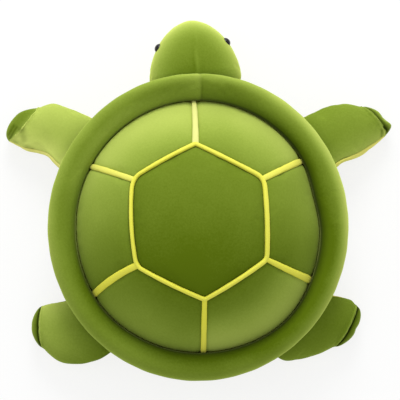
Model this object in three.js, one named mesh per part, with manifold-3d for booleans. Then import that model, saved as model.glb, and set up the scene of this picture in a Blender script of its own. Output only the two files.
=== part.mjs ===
// Plush sea turtle, a stuffed floor cushion of short-pile velour.
// A round domed shell of seven panels with tape over its seams, a stuffed rim
// round it, a flat belly, a turned head with two safety eyes and four limbs.
// Millimetres. +Z is up, the head points to -Y and the turtle's left is +X.
// The origin is the centre of the belly's flat face, which rests on the floor.

import * as THREE from 'three';
import { mergeVertices } from 'three/addons/utils/BufferGeometryUtils.js';
import Module from 'manifold-3d';

const wasm = await Module();
wasm.setup();

// Cloth, seams and stuffing
const clothThick = 2;
const seamGap = 0.6;
const fitGap = 0.4;
const cutOverrun = 4;
const crownGap = 1.7;

// Shell and rim, seen from above
const shellWidth = 450;
const shellLength = 461;
const shellHeight = 200;
const grooveShare = 0.8045;
const grooveHeight = 92;
const domeRoundness = 2.1;
const domeReachShare = 1.075;
const slopeStepShare = 0.001;

// Rim section
const rimSeamHeight = 88;
const rimCrest = 26;
const rimSag = 14;
const rimRoundness = 2.2;
const rimLift = 24;
const rimLiftSpreadDeg = 48;
const rimLiftPower = 1.3;

// Belly
const bellyWallOut = 6;
const bellyFlatShare = 0.775;
const bellyCurveHeight = 62;

// Yellow tape over the shell's seams
const hexagonTapeWidth = 6;
const spokeTapeWidth = 8;
const tapeThick = 2.8;
const hexagonRadius = 109;
const hexagonForward = 3;
const spokeEndGap = 3;
const hexagonAngles = [-88, -33, 35, 95, 152, 213];
const hexagonShares = [1.01, 1.01, 0.98, 1, 1.02, 1.02];
const spokeEndAngles = [-88, -28.5, 32.5, 92.5, 155, 211.5];
const cornerEaseShare = 0.25;
const spokeStartShare = 0.8;
const spokeMeetingDeg = 30;

// Head
const headWidth = 141;
const headLength = 124;
const headWidestAt = 41;
const headSeamHeight = 48;
const headRise = 48;
const headFall = 45;
const headSetback = 1.3;
const headTurnDeg = 5.2;
const headOffset = 3.5;
const headFromShare = 0.05;
const headToShare = 0.975;
const neckPivotDepth = 28;
const neckBallRadius = 19;
const neckMouthRadius = 11;
const backPower = 1.5;
const backHeightPower = 1.2;
const snoutPower = 1.7;
const snoutHeightPower = 2;

// Eyes
const eyeDiameter = 14;
const eyeHeight = 5.5;
const eyeForward = 86;
const eyeLiftDeg = 14;
const shankDiameter = 4;
const shankLength = 14;
const washerDiameter = 18;
const washerThick = 2;
const washerSink = 4.4;
const eyeDomeDegs = [0, 30, 58, 78];
const eyeStepShare = 0.01;

// Limbs
const limbRootHeight = 70;
const limbRootSetback = 0.6;
const limbRootThick = 5.2;
const limbFloorGap = 1.2;
const limbRoundness = 2.2;
const limbRowEaseShare = 0.4;
const limbRootShare = 0.5;
const flipperReach = 126;
const flipperWidth = 90;
const flipperThick = 47;
const flipperBulge = 15;
const legReach = 112;
const legWidth = 118;
const legThick = 46;
const legBulge = 15;
const flipperShares = [0.96, 1];
const legShares = [1, 0.83];

// Each limb is outlined from above by a leading and a trailing edge, both
// from the root to the end seam. The first share of a point follows the
// reach outwards and the second follows the width along the shell's side.
const frontLeft = {
  name: 'front_left', angle: -38, side: 1,
  reach: flipperReach * flipperShares[0], width: flipperWidth, thick: flipperThick, bulge: flipperBulge,
  leadShares: [[0, -0.42], [0.2, -0.35], [0.43, -0.3], [0.66, -0.22], [0.88, -0.13], [0.99, 0.06]],
  trailShares: [[0, 0.58], [0.2, 0.66], [0.43, 0.66], [0.66, 0.73], [0.86, 0.8], [1.01, 0.84]],
  dropShares: [0, 0.3, 0.52, 0.77, 0.92, 1],
  thickShares: [0.1, 0.38, 0.77, 0.98, 1, 0.93],
  leadSeamDeg: 2, trailSeamDeg: 20,
};

const frontRight = {
  name: 'front_right', angle: -142, side: -1,
  reach: flipperReach * flipperShares[1], width: flipperWidth, thick: flipperThick, bulge: flipperBulge,
  leadShares: [[0, -0.42], [0.2, -0.37], [0.41, -0.32], [0.64, -0.27], [0.86, -0.1], [1.02, 0.15]],
  trailShares: [[0, 0.58], [0.2, 0.63], [0.41, 0.63], [0.64, 0.7], [0.84, 0.72], [1.02, 0.72]],
  dropShares: [0, 0.3, 0.52, 0.77, 0.92, 1],
  thickShares: [0.1, 0.38, 0.77, 0.98, 1, 0.9],
  leadSeamDeg: 2, trailSeamDeg: 24,
};

const rearLeft = {
  name: 'rear_left', angle: 42, side: 1,
  reach: legReach * legShares[0], width: legWidth, thick: legThick, bulge: legBulge,
  leadShares: [[0, -0.4], [0.15, -0.42], [0.28, -0.44], [0.41, -0.5], [0.53, -0.57], [0.63, -0.61]],
  trailShares: [[0, 0.43], [0.24, 0.46], [0.49, 0.41], [0.73, 0.25], [0.92, 0.03], [0.96, -0.22]],
  dropShares: [0, 0.24, 0.47, 0.72, 0.9, 1],
  thickShares: [0.11, 0.36, 0.74, 0.97, 1, 0.92],
  leadSeamDeg: 6, trailSeamDeg: 4,
};

const rearRight = {
  name: 'rear_right', angle: 138, side: -1,
  reach: legReach * legShares[1], width: legWidth, thick: legThick, bulge: legBulge,
  leadShares: [[0, -0.46], [0.19, -0.49], [0.35, -0.53], [0.5, -0.6], [0.66, -0.64], [0.8, -0.62]],
  trailShares: [[0, 0.44], [0.23, 0.52], [0.44, 0.51], [0.62, 0.36], [0.81, 0.14], [0.95, -0.1]],
  dropShares: [0, 0.24, 0.47, 0.72, 0.9, 1],
  thickShares: [0.12, 0.38, 0.75, 0.97, 1, 0.92],
  leadSeamDeg: 22, trailSeamDeg: 4,
};

// Fineness of the faceted surfaces
const ringSteps = 40;
const rimArcSteps = 7;
const bellyArcSteps = 5;
const domeSteps = 5;
const panelSteps = 6;
const sideSteps = 5;
const spokeSteps = 6;
const headRows = 9;
const headArcSteps = 5;
const headUnderSteps = 8;
const limbRows = 7;
const limbArcSteps = 6;
const soleRings = 2;
const eyeSteps = 14;
const neckSteps = 20;
const neckRows = 8;
const puffReachDeg = 65;
const fillingFirstRow = 2;

// Sizes that follow from the ones above
const fullTurnDeg = 360;
const endExtra = (shellLength - shellWidth) / 2;
const grooveRadius = shellWidth / 2 * grooveShare;
const spokeEndRadius = grooveRadius - spokeEndGap;
const ovalRatio = 1 + endExtra / grooveRadius;
const rimOuter = shellWidth / 2;
const rimInner = grooveRadius + 2 * seamGap;
const rimMiddle = (rimOuter + rimInner) / 2;
const rimHalf = (rimOuter - rimInner) / 2;
const fillInset = clothThick + fitGap;
const bellyRadius = grooveRadius + bellyWallOut;
const bellyFlatRadius = bellyRadius * bellyFlatShare;
const bellyFrontY = -(bellyRadius + endExtra);

// Colours
const velourGreen = 0x7a9434;
const velourLime = 0xa9bb50;
const velourYellow = 0xdfe060;
const tapeYellow = 0xece867;
const stuffingWhite = 0xf2f1ea;
const eyeBlack = 0x0d0d0d;
const washerWhite = 0xdcdcd4;

const radians = (degrees) => degrees * Math.PI / 180;
const share = (i, count) => i / count;
const mix = (a, b, t) => a + (b - a) * t;

function matte(color) {
  return new THREE.MeshStandardMaterial({ color, roughness: 0.95, metalness: 0 });
}

function glossy(color) {
  return new THREE.MeshStandardMaterial({ color, roughness: 0.15, metalness: 0 });
}

// Mesh building

// A triangle mesh with its faces turned outwards.
function closedGeometry(points, faces) {
  let volume = 0;
  for (const [a, b, c] of faces) {
    volume += points[a].dot(points[b].clone().cross(points[c]));
  }
  const order = volume < 0 ? faces.map(([a, b, c]) => [a, c, b]) : faces;
  const geometry = new THREE.BufferGeometry().setFromPoints(points);
  geometry.setIndex(order.flat());
  return geometry;
}

// The bands of faces that join each ring of points to the next one. From the
// column where a cloth turns back inside, the facets are split the other way,
// so that the inner side has the same creases as the outer one.
function bands(count, around, closed, turnsAt) {
  const faces = [];
  const runs = closed ? count : count - 1;
  for (let i = 0; i < runs; i++) {
    for (let j = 0; j < around; j++) {
      const here = i * around + j;
      const beside = i * around + (j + 1) % around;
      const over = ((i + 1) % count) * around + j;
      const across = ((i + 1) % count) * around + (j + 1) % around;
      if (j < turnsAt) {
        faces.push([here, beside, across], [here, across, over]);
      } else {
        faces.push([here, beside, over], [beside, across, over]);
      }
    }
  }
  return faces;
}

// A solid from rings of points whose last ring joins the first.
function loopSolid(rings, turnsAt = rings[0].length) {
  return closedGeometry(rings.flat(), bands(rings.length, rings[0].length, true, turnsAt));
}

// A solid from rings of points, closed by a fan at each end.
function cappedSolid(rings, firstTip, lastTip) {
  const around = rings[0].length;
  const points = [...rings.flat(), firstTip, lastTip];
  const faces = bands(rings.length, around, false, around);
  const first = points.length - 2;
  const last = points.length - 1;
  const end = (rings.length - 1) * around;
  for (let j = 0; j < around; j++) {
    const k = (j + 1) % around;
    faces.push([first, k, j]);
    faces.push([last, end + j, end + k]);
  }
  return closedGeometry(points, faces);
}

// A sheet of cloth from rows of outer points and matching inner points.
function clothSolid(outerRows, innerRows) {
  const rings = outerRows.map((row, i) => [...row, ...innerRows[i].slice().reverse()]);
  const around = rings[0].length;
  const faces = bands(rings.length, around, false, around / 2);
  const end = (rings.length - 1) * around;
  for (let j = 0; j < around / 2 - 1; j++) {
    const back = around - 1 - j;
    faces.push([j + 1, j, back], [j + 1, back, back - 1]);
    faces.push([end + j, end + j + 1, end + back], [end + j + 1, end + back - 1, end + back]);
  }
  return closedGeometry(rings.flat(), faces);
}

// Even stops from one angle up to, but not with, another.
function evenStops(from, to, steps) {
  const stops = [];
  for (let i = 0; i < steps; i++) {
    stops.push(mix(from, to, share(i, steps)));
  }
  return stops;
}

// Even stops between two seams, the first and last drawn in by a margin.
function seamStops(from, to, steps, margin) {
  const stops = [...evenStops(from, to, steps), to];
  stops[0] += margin;
  stops[steps] -= margin;
  return stops;
}

function middle(points) {
  const sum = new THREE.Vector3();
  for (const point of points) {
    sum.add(point);
  }
  return sum.divideScalar(points.length);
}

function toManifold(geometry) {
  const bare = geometry.clone();
  bare.deleteAttribute('normal');
  bare.deleteAttribute('uv');
  const merged = mergeVertices(bare);
  const vertProperties = new Float32Array(merged.attributes.position.array);
  const triVerts = new Uint32Array(merged.index.array);
  return new wasm.Manifold(new wasm.Mesh({ numProp: 3, vertProperties, triVerts }));
}

function cut(geometry, tools) {
  let solid = toManifold(geometry);
  for (const tool of tools) {
    solid = solid.subtract(toManifold(tool));
  }
  const mesh = solid.getMesh();
  const result = new THREE.BufferGeometry();
  result.setAttribute('position', new THREE.BufferAttribute(mesh.vertProperties, 3));
  result.setIndex(new THREE.BufferAttribute(mesh.triVerts, 1));
  return result;
}

function addPart(group, name, geometry, material) {
  const mesh = new THREE.Mesh(geometry, material);
  mesh.name = name;
  group.add(mesh);
  return mesh;
}

// Shell

// A point of the oval shell at a half width and a height.
function ovalPoint(radius, angle, height) {
  const extra = endExtra * Math.min(1, radius / grooveRadius);
  return new THREE.Vector3(radius * Math.cos(angle), (radius + extra) * Math.sin(angle), height);
}

const domeReach = grooveRadius * domeReachShare;
const domeEdgeShare = roundFall(grooveRadius / domeReach, domeRoundness);
const domeRise = (shellHeight - grooveHeight) / (1 - domeEdgeShare);
const domeBase = shellHeight - domeRise;

// How far a round form is still up at a share of its reach.
function roundFall(reachShare, power) {
  return Math.max(0, 1 - Math.abs(reachShare) ** power) ** (1 / power);
}

function domeHeight(x, y) {
  const reachShare = Math.hypot(x, y / ovalRatio) / domeReach;
  return domeBase + domeRise * roundFall(reachShare, domeRoundness);
}

// A point over or under the dome's surface, measured square to it.
function onDome(x, y, lift) {
  const step = grooveRadius * slopeStepShare;
  const slopeX = (domeHeight(x + step, y) - domeHeight(x - step, y)) / (2 * step);
  const slopeY = (domeHeight(x, y + step) - domeHeight(x, y - step)) / (2 * step);
  const normal = new THREE.Vector3(-slopeX, -slopeY, 1).normalize();
  return new THREE.Vector3(x, y, domeHeight(x, y)).addScaledVector(normal, lift);
}

function planPoint(radius, angleDeg) {
  const angle = radians(angleDeg);
  return new THREE.Vector2(radius * Math.cos(angle), radius * ovalRatio * Math.sin(angle));
}

const hexagonCorners = hexagonAngles.map((angle, i) => {
  const corner = planPoint(hexagonRadius * hexagonShares[i], angle);
  corner.y -= hexagonForward;
  return corner;
});
const spokeEnds = spokeEndAngles.map((angle) => planPoint(spokeEndRadius, angle));

// The hexagon's outline with a few points on each side.
function hexagonPath(steps) {
  const path = [];
  hexagonCorners.forEach((corner, i) => {
    const next = hexagonCorners[(i + 1) % hexagonCorners.length];
    for (let j = 0; j < steps; j++) {
      path.push(corner.clone().lerp(next, share(j, steps)));
    }
  });
  return path;
}

function hexagonPanel() {
  const path = hexagonPath(sideSteps);
  const centre = middlePlan(path);
  const ringAt = (reachShare, lift) => path.map((point) => {
    const arm = point.clone().sub(centre);
    const length = arm.length() - seamGap / 2;
    const place = centre.clone().addScaledVector(arm.normalize(), length * reachShare);
    return onDome(place.x, place.y, lift);
  });
  const reachShares = [0.36, 0.7, 1];
  const outer = reachShares.map((reachShare) => ringAt(reachShare, 0));
  const inner = reachShares.map((reachShare) => ringAt(reachShare, -clothThick));
  const outerTip = onDome(centre.x, centre.y, 0);
  const innerTip = onDome(centre.x, centre.y, -clothThick);
  return cappedSolid([...outer, ...inner.reverse()], outerTip, innerTip);
}

function middlePlan(path) {
  const sum = new THREE.Vector2();
  for (const point of path) {
    sum.add(point);
  }
  return sum.divideScalar(path.length);
}

// One of the six side panels, between two spoke seams.
function shellPanel(index) {
  const next = (index + 1) % hexagonCorners.length;
  const startDeg = spokeEndAngles[index];
  const sweepDeg = (spokeEndAngles[next] - startDeg + fullTurnDeg) % fullTurnDeg;
  const edgeRadius = grooveRadius - seamGap;
  const planAt = (s, t) => {
    const inner = hexagonCorners[index].clone().lerp(hexagonCorners[next], t);
    const outer = planPoint(edgeRadius, startDeg + sweepDeg * t);
    return inner.lerp(outer, s);
  };
  const rowAt = (s, lift) => {
    const row = [];
    const width = planAt(s, 0).distanceTo(planAt(s, 1));
    const margin = seamGap / 2 / width;
    for (let j = 0; j <= panelSteps; j++) {
      const t = mix(margin, 1 - margin, share(j, panelSteps));
      const place = planAt(s, t);
      row.push(onDome(place.x, place.y, lift));
    }
    return row;
  };
  const innerReach = planAt(0, 0.5).distanceTo(planAt(1, 0.5));
  const start = seamGap / 2 / innerReach;
  const outerRows = [];
  const innerRows = [];
  for (let i = 0; i <= domeSteps; i++) {
    const s = mix(start, 1, Math.sin(share(i, domeSteps) * Math.PI / 2));
    outerRows.push(rowAt(s, 0));
    innerRows.push(rowAt(s, -clothThick));
  }
  return clothSolid(outerRows, innerRows);
}

// Tape section: across as a share of the half width, up as a share of the thickness.
const tapeShares = [[-1, 0], [-0.93, 0.6], [-0.55, 0.96], [0.55, 0.96], [0.93, 0.6], [1, 0]];

function tapeRing(place, heading, width) {
  const across = new THREE.Vector2(-heading.y, heading.x).normalize();
  return tapeShares.map(([sideShare, upShare]) => {
    const spot = place.clone().addScaledVector(across, sideShare * width / 2);
    return onDome(spot.x, spot.y, fitGap + upShare * tapeThick);
  });
}

// The tape round the hexagon, one closed loop with eased corners.
function hexagonTape() {
  const path = hexagonPath(sideSteps);
  const rings = path.map((point, i) => {
    const before = path[(i + path.length - 1) % path.length];
    const after = path[(i + 1) % path.length];
    const inside = before.clone().lerp(after, 0.5);
    const eased = i % sideSteps === 0 ? point.clone().lerp(inside, cornerEaseShare) : point;
    return tapeRing(eased, after.clone().sub(before), hexagonTapeWidth);
  });
  return loopSolid(rings);
}

// A tape from a corner of the hexagon to the groove, with rounded ends.
function spokeTape(index) {
  const corner = hexagonCorners[index];
  const end = spokeEnds[index];
  const heading = end.clone().sub(corner);
  const length = heading.length();
  const start = (hexagonTapeWidth / 2 + fitGap) / Math.cos(radians(spokeMeetingDeg));
  const tip = spokeTapeWidth / 2;
  const widthAt = (left) => spokeTapeWidth * Math.sqrt(Math.max(0, 1 - (1 - left / tip) ** 2));
  const stops = [[start, spokeTapeWidth * spokeStartShare]];
  for (let i = 0; i <= spokeSteps; i++) {
    stops.push([mix(start + tip / 2, length - tip, share(i, spokeSteps)), spokeTapeWidth]);
  }
  const leftShares = [0.45, 0.12];
  for (const leftShare of leftShares) {
    stops.push([length - tip * leftShare, widthAt(tip * leftShare)]);
  }
  const rings = stops.map(([along, width]) => {
    const place = corner.clone().addScaledVector(heading, along / length);
    return tapeRing(place, heading, width);
  });
  return cappedSolid(rings, middle(rings[0]), middle(rings[rings.length - 1]));
}

// Rim

// How far the rim is pushed up over the neck: most in front, at its outer edge.
function rimRaise(radius, angle) {
  const turn = Math.atan2(Math.sin(angle + Math.PI / 2), Math.cos(angle + Math.PI / 2));
  const spread = radians(rimLiftSpreadDeg);
  if (Math.abs(turn) >= spread) {
    return 0;
  }
  const window = (1 + Math.cos(Math.PI * turn / spread)) / 2;
  const outShare = Math.max(0, (radius - rimInner) / (rimOuter - rimInner));
  return rimLift * window * outShare ** rimLiftPower;
}

// A point of the rim's section: 0 degrees is the outer seam, 90 the crest.
function rimPoint(sectionDeg, inset, angle) {
  const c = Math.cos(radians(sectionDeg));
  const s = Math.sin(radians(sectionDeg));
  const bend = 2 / rimRoundness;
  const radius = rimMiddle + (rimHalf - inset) * Math.sign(c) * Math.abs(c) ** bend;
  const tall = (s > 0 ? rimCrest : rimSag) - inset;
  const height = rimSeamHeight + tall * Math.sign(s) * Math.abs(s) ** bend;
  return ovalPoint(radius, angle, height + rimRaise(radius, angle));
}

function rimCover(fromDeg, toDeg, marginDeg) {
  const sections = seamStops(fromDeg, toDeg, rimArcSteps, marginDeg);
  const rings = [];
  for (let i = 0; i < ringSteps; i++) {
    const angle = 2 * Math.PI * share(i, ringSteps);
    const outer = sections.map((section) => rimPoint(section, 0, angle));
    const inner = sections.map((section) => rimPoint(section, clothThick, angle));
    rings.push([...outer, ...inner.reverse()]);
  }
  return loopSolid(rings, sections.length);
}

function rimFilling() {
  const sections = evenStops(0, fullTurnDeg, 2 * rimArcSteps);
  const rings = [];
  for (let i = 0; i < ringSteps; i++) {
    const angle = 2 * Math.PI * share(i, ringSteps);
    rings.push(sections.map((section) => rimPoint(section, fillInset, angle)));
  }
  return loopSolid(rings);
}

// Height of the rim's underside over the belly's side wall.
function rimUnderside(radius, angle) {
  const down = rimSag * roundFall((radius - rimMiddle) / rimHalf, rimRoundness);
  return rimSeamHeight - down + rimRaise(radius, angle);
}

// Belly

function ovalRing(radius, heightAt) {
  const ring = [];
  for (let i = 0; i < ringSteps; i++) {
    const angle = 2 * Math.PI * share(i, ringSteps);
    ring.push(ovalPoint(radius, angle, heightAt(angle)));
  }
  return ring;
}

// The belly's rings from the flat face up to the edge of its side wall.
function bellyRings(inset) {
  const rings = [];
  for (let i = 0; i <= bellyArcSteps; i++) {
    const turn = share(i, bellyArcSteps) * Math.PI / 2;
    const radius = bellyFlatRadius + (bellyRadius - bellyFlatRadius - inset) * Math.sin(turn);
    const height = bellyCurveHeight - (bellyCurveHeight - inset) * Math.cos(turn);
    rings.push(ovalRing(radius, () => height));
  }
  rings.push(ovalRing(bellyRadius - inset, (angle) => rimUnderside(bellyRadius, angle) - seamGap));
  return rings;
}

function bellyPanel() {
  const rings = [...bellyRings(0), ...bellyRings(clothThick).reverse()];
  return cappedSolid(rings, new THREE.Vector3(0, 0, 0), new THREE.Vector3(0, 0, clothThick));
}

// Stuffing of the body, from the belly up to the dome.
function bodyFilling() {
  const rings = bellyRings(fillInset);
  rings.pop();
  const wall = bellyRadius - fillInset;
  const crownInset = clothThick + crownGap;
  const neckRadius = grooveRadius - clothThick;
  const shoulder = rimUnderside(bellyRadius, 0) - clothThick;
  rings.push(ovalRing(wall, () => shoulder));
  rings.push(ovalRing(neckRadius, () => shoulder + clothThick));
  const reachShares = [0.985, 0.93, 0.8, 0.58, 0.3];
  for (const reachShare of reachShares) {
    const ring = [];
    for (let i = 0; i < ringSteps; i++) {
      const place = planPoint(neckRadius * reachShare, fullTurnDeg * share(i, ringSteps));
      ring.push(onDome(place.x, place.y, -crownInset));
    }
    rings.push(ring);
  }
  return cappedSolid(rings, new THREE.Vector3(0, 0, fillInset), onDome(0, 0, -crownInset));
}

function buildTorso() {
  const torso = new THREE.Group();
  addPart(torso, 'belly_panel', bellyPanel(), matte(velourYellow));
  addPart(torso, 'body_filling', bodyFilling(), matte(stuffingWhite));
  addPart(torso, 'shell_hexagon_panel', hexagonPanel(), matte(velourGreen));
  addPart(torso, 'hexagon_tape', hexagonTape(), matte(tapeYellow));
  for (let i = 0; i < hexagonCorners.length; i++) {
    addPart(torso, `shell_panel_${i + 1}`, shellPanel(i), matte(velourGreen));
    addPart(torso, `spoke_tape_${i + 1}`, spokeTape(i), matte(tapeYellow));
  }
  const upperMargin = THREE.MathUtils.radToDeg(seamGap / rimCrest);
  const lowerMargin = THREE.MathUtils.radToDeg(seamGap / rimSag);
  addPart(torso, 'rim_upper_cover', rimCover(0, 180, upperMargin), matte(velourGreen));
  addPart(torso, 'rim_lower_cover', rimCover(180, fullTurnDeg, lowerMargin), matte(velourGreen));
  addPart(torso, 'rim_filling', rimFilling(), matte(stuffingWhite));
  return torso;
}

// Head, built in its own frame: +X is the turtle's left, -Y forwards, with
// the pivot of the neck at the origin and heights as on the floor.

// How wide or tall the head still is at a depth from the neck to the nose.
function headShare(along, rear, front) {
  const widest = headWidestAt / headLength;
  if (along < widest) {
    return roundFall((widest - along) / widest, rear);
  }
  return roundFall((along - widest) / (1 - widest), front);
}

// A point of the head: 0 degrees is the left side seam, 90 the top seam.
function headPoint(rowShare, sectionDeg, inset) {
  const along = (1 - Math.cos(Math.PI * rowShare)) / 2;
  const c = Math.cos(radians(sectionDeg));
  const s = Math.sin(radians(sectionDeg));
  const half = (headWidth / 2 - inset) * headShare(along, backPower, snoutPower);
  const tallest = (s > 0 ? headRise : headFall) - inset;
  const tall = tallest * headShare(along, backHeightPower, snoutHeightPower);
  const depth = mix(inset - headSetback, headLength - inset, along);
  return new THREE.Vector3(half * c, neckPivotDepth - depth, headSeamHeight + tall * s);
}

function headRowShare(i) {
  return mix(headFromShare, headToShare, share(i, headRows));
}

function headPanel(fromDeg, toDeg, steps) {
  const rowsAt = (inset) => {
    const rows = [];
    for (let i = 0; i <= headRows; i++) {
      const rowShare = headRowShare(i);
      const half = headPoint(rowShare, 0, 0).x;
      const margin = THREE.MathUtils.radToDeg(seamGap / 2 / half);
      const sections = seamStops(fromDeg, toDeg, steps, margin);
      rows.push(sections.map((section) => headPoint(rowShare, section, inset)));
    }
    return rows;
  };
  return clothSolid(rowsAt(0), rowsAt(clothThick));
}

function headFilling() {
  const upper = evenStops(0, 180, 2 * headArcSteps);
  const sections = [...upper, ...evenStops(180, fullTurnDeg, headUnderSteps)];
  const rings = [];
  for (let i = 0; i <= headRows; i++) {
    rings.push(sections.map((section) => headPoint(headRowShare(i), section, fillInset)));
  }
  return cappedSolid(rings, middle(rings[0]), middle(rings[rings.length - 1]));
}

// Where an eye sits and which way it looks, on the left (1) or right (-1).
function eyeSeat(side) {
  const along = eyeForward / headLength;
  const rowShare = Math.acos(1 - 2 * along) / Math.PI;
  const angle = side > 0 ? eyeLiftDeg : 180 - eyeLiftDeg;
  const place = headPoint(rowShare, angle, 0);
  const down = headPoint(rowShare, angle - 1, 0).sub(headPoint(rowShare, angle + 1, 0));
  const ahead = headPoint(rowShare + eyeStepShare, angle, 0);
  const forward = ahead.sub(headPoint(rowShare - eyeStepShare, angle, 0));
  const normal = down.cross(forward).normalize();
  const outward = normal.x * side < 0 ? normal.negate() : normal;
  const turn = new THREE.Quaternion().setFromUnitVectors(new THREE.Vector3(0, 1, 0), outward);
  return { place, turn };
}

// A round solid from its profile: distances from the axis and heights along it.
function turned(profile) {
  return new THREE.LatheGeometry(profile.map(([x, y]) => new THREE.Vector2(x, y)), eyeSteps);
}

// A domed eye on its shank.
function eyeShape() {
  const radius = eyeDiameter / 2;
  const shank = shankDiameter / 2;
  const profile = [[0, -shankLength], [shank, -shankLength], [shank, fitGap]];
  for (const turnDeg of eyeDomeDegs) {
    const turn = radians(turnDeg);
    profile.push([radius * Math.cos(turn), fitGap + eyeHeight * Math.sin(turn)]);
  }
  profile.push([0, fitGap + eyeHeight]);
  return turned(profile);
}

function washerShape() {
  const hole = shankDiameter / 2 + fitGap;
  const outer = washerDiameter / 2;
  const back = -washerSink - washerThick;
  const corners = [[hole, back], [outer, back], [outer, -washerSink], [hole, -washerSink]];
  return turned([...corners, corners[0]]);
}

// The space an eye's shank and washer take in the cloth and the stuffing.
function shankHole(side) {
  const radius = shankDiameter / 2 + fitGap;
  const length = shankLength + cutOverrun;
  const hole = new THREE.CylinderGeometry(radius, radius, length, eyeSteps);
  hole.translate(0, cutOverrun / 2 - shankLength / 2 - fitGap, 0);
  return seated(hole, side);
}

function washerPocket(side) {
  const radius = washerDiameter / 2 + fitGap;
  const length = washerSink + washerThick + fitGap + cutOverrun;
  const pocket = new THREE.CylinderGeometry(radius, radius, length, eyeSteps);
  pocket.translate(0, cutOverrun - length / 2, 0);
  return seated(pocket, side);
}

function seated(geometry, side) {
  const { place, turn } = eyeSeat(side);
  return geometry.applyQuaternion(turn).translate(place.x, place.y, place.z);
}

// The neck's wad of stuffing, round about the axis that the head nods on.
function neckBall(radius) {
  const ball = new THREE.SphereGeometry(radius, neckSteps, neckRows);
  return ball.rotateZ(Math.PI / 2).translate(0, 0, headSeamHeight);
}

// The way from the neck's wad of stuffing out through the back of the head.
function neckMouth() {
  const length = neckPivotDepth + cutOverrun;
  const mouth = new THREE.CylinderGeometry(neckMouthRadius, neckMouthRadius, length, eyeSteps);
  return mouth.translate(0, length / 2, headSeamHeight);
}

function buildHead() {
  const head = new THREE.Group();
  const sides = [['left', 1, 0, 90], ['right', -1, 90, 180]];
  const stuffingCuts = [neckBall(neckBallRadius + fitGap), neckMouth()];
  for (const [label, side, fromDeg, toDeg] of sides) {
    const panel = cut(headPanel(fromDeg, toDeg, headArcSteps), [shankHole(side)]);
    addPart(head, `head_${label}_panel`, panel, matte(velourGreen));
    for (const [name, shape, material] of [
      [`eye_${label}`, eyeShape(), glossy(eyeBlack)],
      [`eye_washer_${label}`, washerShape(), matte(washerWhite)],
    ]) {
      const { place, turn } = eyeSeat(side);
      const mesh = addPart(head, name, shape, material);
      mesh.position.copy(place);
      mesh.quaternion.copy(turn);
    }
    stuffingCuts.push(shankHole(side), washerPocket(side));
  }
  addPart(head, 'head_under_panel', headPanel(180, fullTurnDeg, headUnderSteps), matte(velourYellow));
  addPart(head, 'head_filling', cut(headFilling(), stuffingCuts), matte(stuffingWhite));
  addPart(head, 'neck_filling', neckBall(neckBallRadius), matte(stuffingWhite));
  head.position.set(headOffset, bellyFrontY - neckPivotDepth, 0);
  head.rotation.z = radians(headTurnDeg);
  return head;
}

// Limbs, each in its own frame: +X runs outwards from the shell's side wall
// and +Y along it, mirrored on the right.

function edgeCurve(limb, shares) {
  const points = shares.map(([reachShare, widthShare]) => new THREE.Vector2(
    limbRootSetback + reachShare * (limb.reach - limbRootSetback),
    widthShare * limb.width,
  ));
  return new THREE.SplineCurve(points);
}

// A smooth value between evenly spaced shares.
function valueAlong(shares, along) {
  const points = shares.map((value, i) => new THREE.Vector2(share(i, shares.length - 1), value));
  return new THREE.SplineCurve(points).getPoint(along).y;
}

function limbShape(limb) {
  const lead = edgeCurve(limb, limb.leadShares);
  const trail = edgeCurve(limb, limb.trailShares);
  const endHeight = limb.thick * valueAlong(limb.thickShares, 1) / 2 + limbFloorGap;
  const halfThickAt = (along) => {
    const rounding = Math.min(1, limbRootShare + along * limb.reach / limbRootThick);
    return valueAlong(limb.thickShares, along) * limb.thick / 2 * rounding;
  };
  const midHeightAt = (along) => mix(limbRootHeight, endHeight, valueAlong(limb.dropShares, along));
  return { limb, lead, trail, halfThickAt, midHeightAt };
}

// A point of the limb's section: 0 degrees is the leading edge, 90 the top.
function limbPoint(shape, along, sectionDeg, inset) {
  const lead = shape.lead.getPoint(along);
  const trail = shape.trail.getPoint(along);
  const centre = lead.clone().lerp(trail, 0.5);
  const across = trail.clone().sub(lead);
  const half = across.length() / 2 - inset;
  across.normalize();
  const bend = 2 / limbRoundness;
  const c = Math.cos(radians(sectionDeg));
  const s = Math.sin(radians(sectionDeg));
  const least = inset > 0 ? fitGap / 2 : 0;
  const tall = Math.max(shape.halfThickAt(along) - inset, least);
  const place = centre.addScaledVector(across, -half * Math.sign(c) * Math.abs(c) ** bend);
  const height = shape.midHeightAt(along) + tall * Math.sign(s) * Math.abs(s) ** bend;
  return new THREE.Vector3(place.x, shape.limb.side * place.y, height);
}

function limbRowShare(i) {
  const even = share(i, limbRows);
  return mix(even, even * even, limbRowEaseShare);
}

function limbCover(shape, fromDeg, toDeg) {
  const rowsAt = (inset) => {
    const rows = [];
    for (let i = 0; i <= limbRows; i++) {
      const along = limbRowShare(i);
      const margin = THREE.MathUtils.radToDeg(seamGap / 2 / shape.halfThickAt(along));
      const sections = seamStops(fromDeg, toDeg, limbArcSteps, margin);
      rows.push(sections.map((section) => limbPoint(shape, along, section, inset)));
    }
    return rows;
  };
  return clothSolid(rowsAt(0), rowsAt(clothThick));
}

// The angles of the limb's section where its facets meet, all round.
function limbSections(limb) {
  const topTo = 180 - limb.trailSeamDeg;
  const top = evenStops(limb.leadSeamDeg, topTo, limbArcSteps);
  return [...top, ...evenStops(topTo, fullTurnDeg + limb.leadSeamDeg, limbArcSteps)];
}

// A ring of the puffed end: 0 is its border, 90 degrees its middle.
function soleRing(shape, puffDeg, inset) {
  const limb = shape.limb;
  const lead = shape.lead.getPoint(1);
  const trail = shape.trail.getPoint(1);
  const across = trail.clone().sub(lead).normalize();
  const outward = new THREE.Vector3(across.y, -across.x * limb.side, 0);
  const edge = limbSections(limb).map((section) => limbPoint(shape, 1, section, inset));
  const centre = middle(edge);
  const puff = radians(puffDeg);
  const out = outward.multiplyScalar(seamGap + (limb.bulge - inset) * Math.sin(puff));
  return edge.map((point) => centre.clone().lerp(point, Math.cos(puff)).add(out));
}

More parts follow.
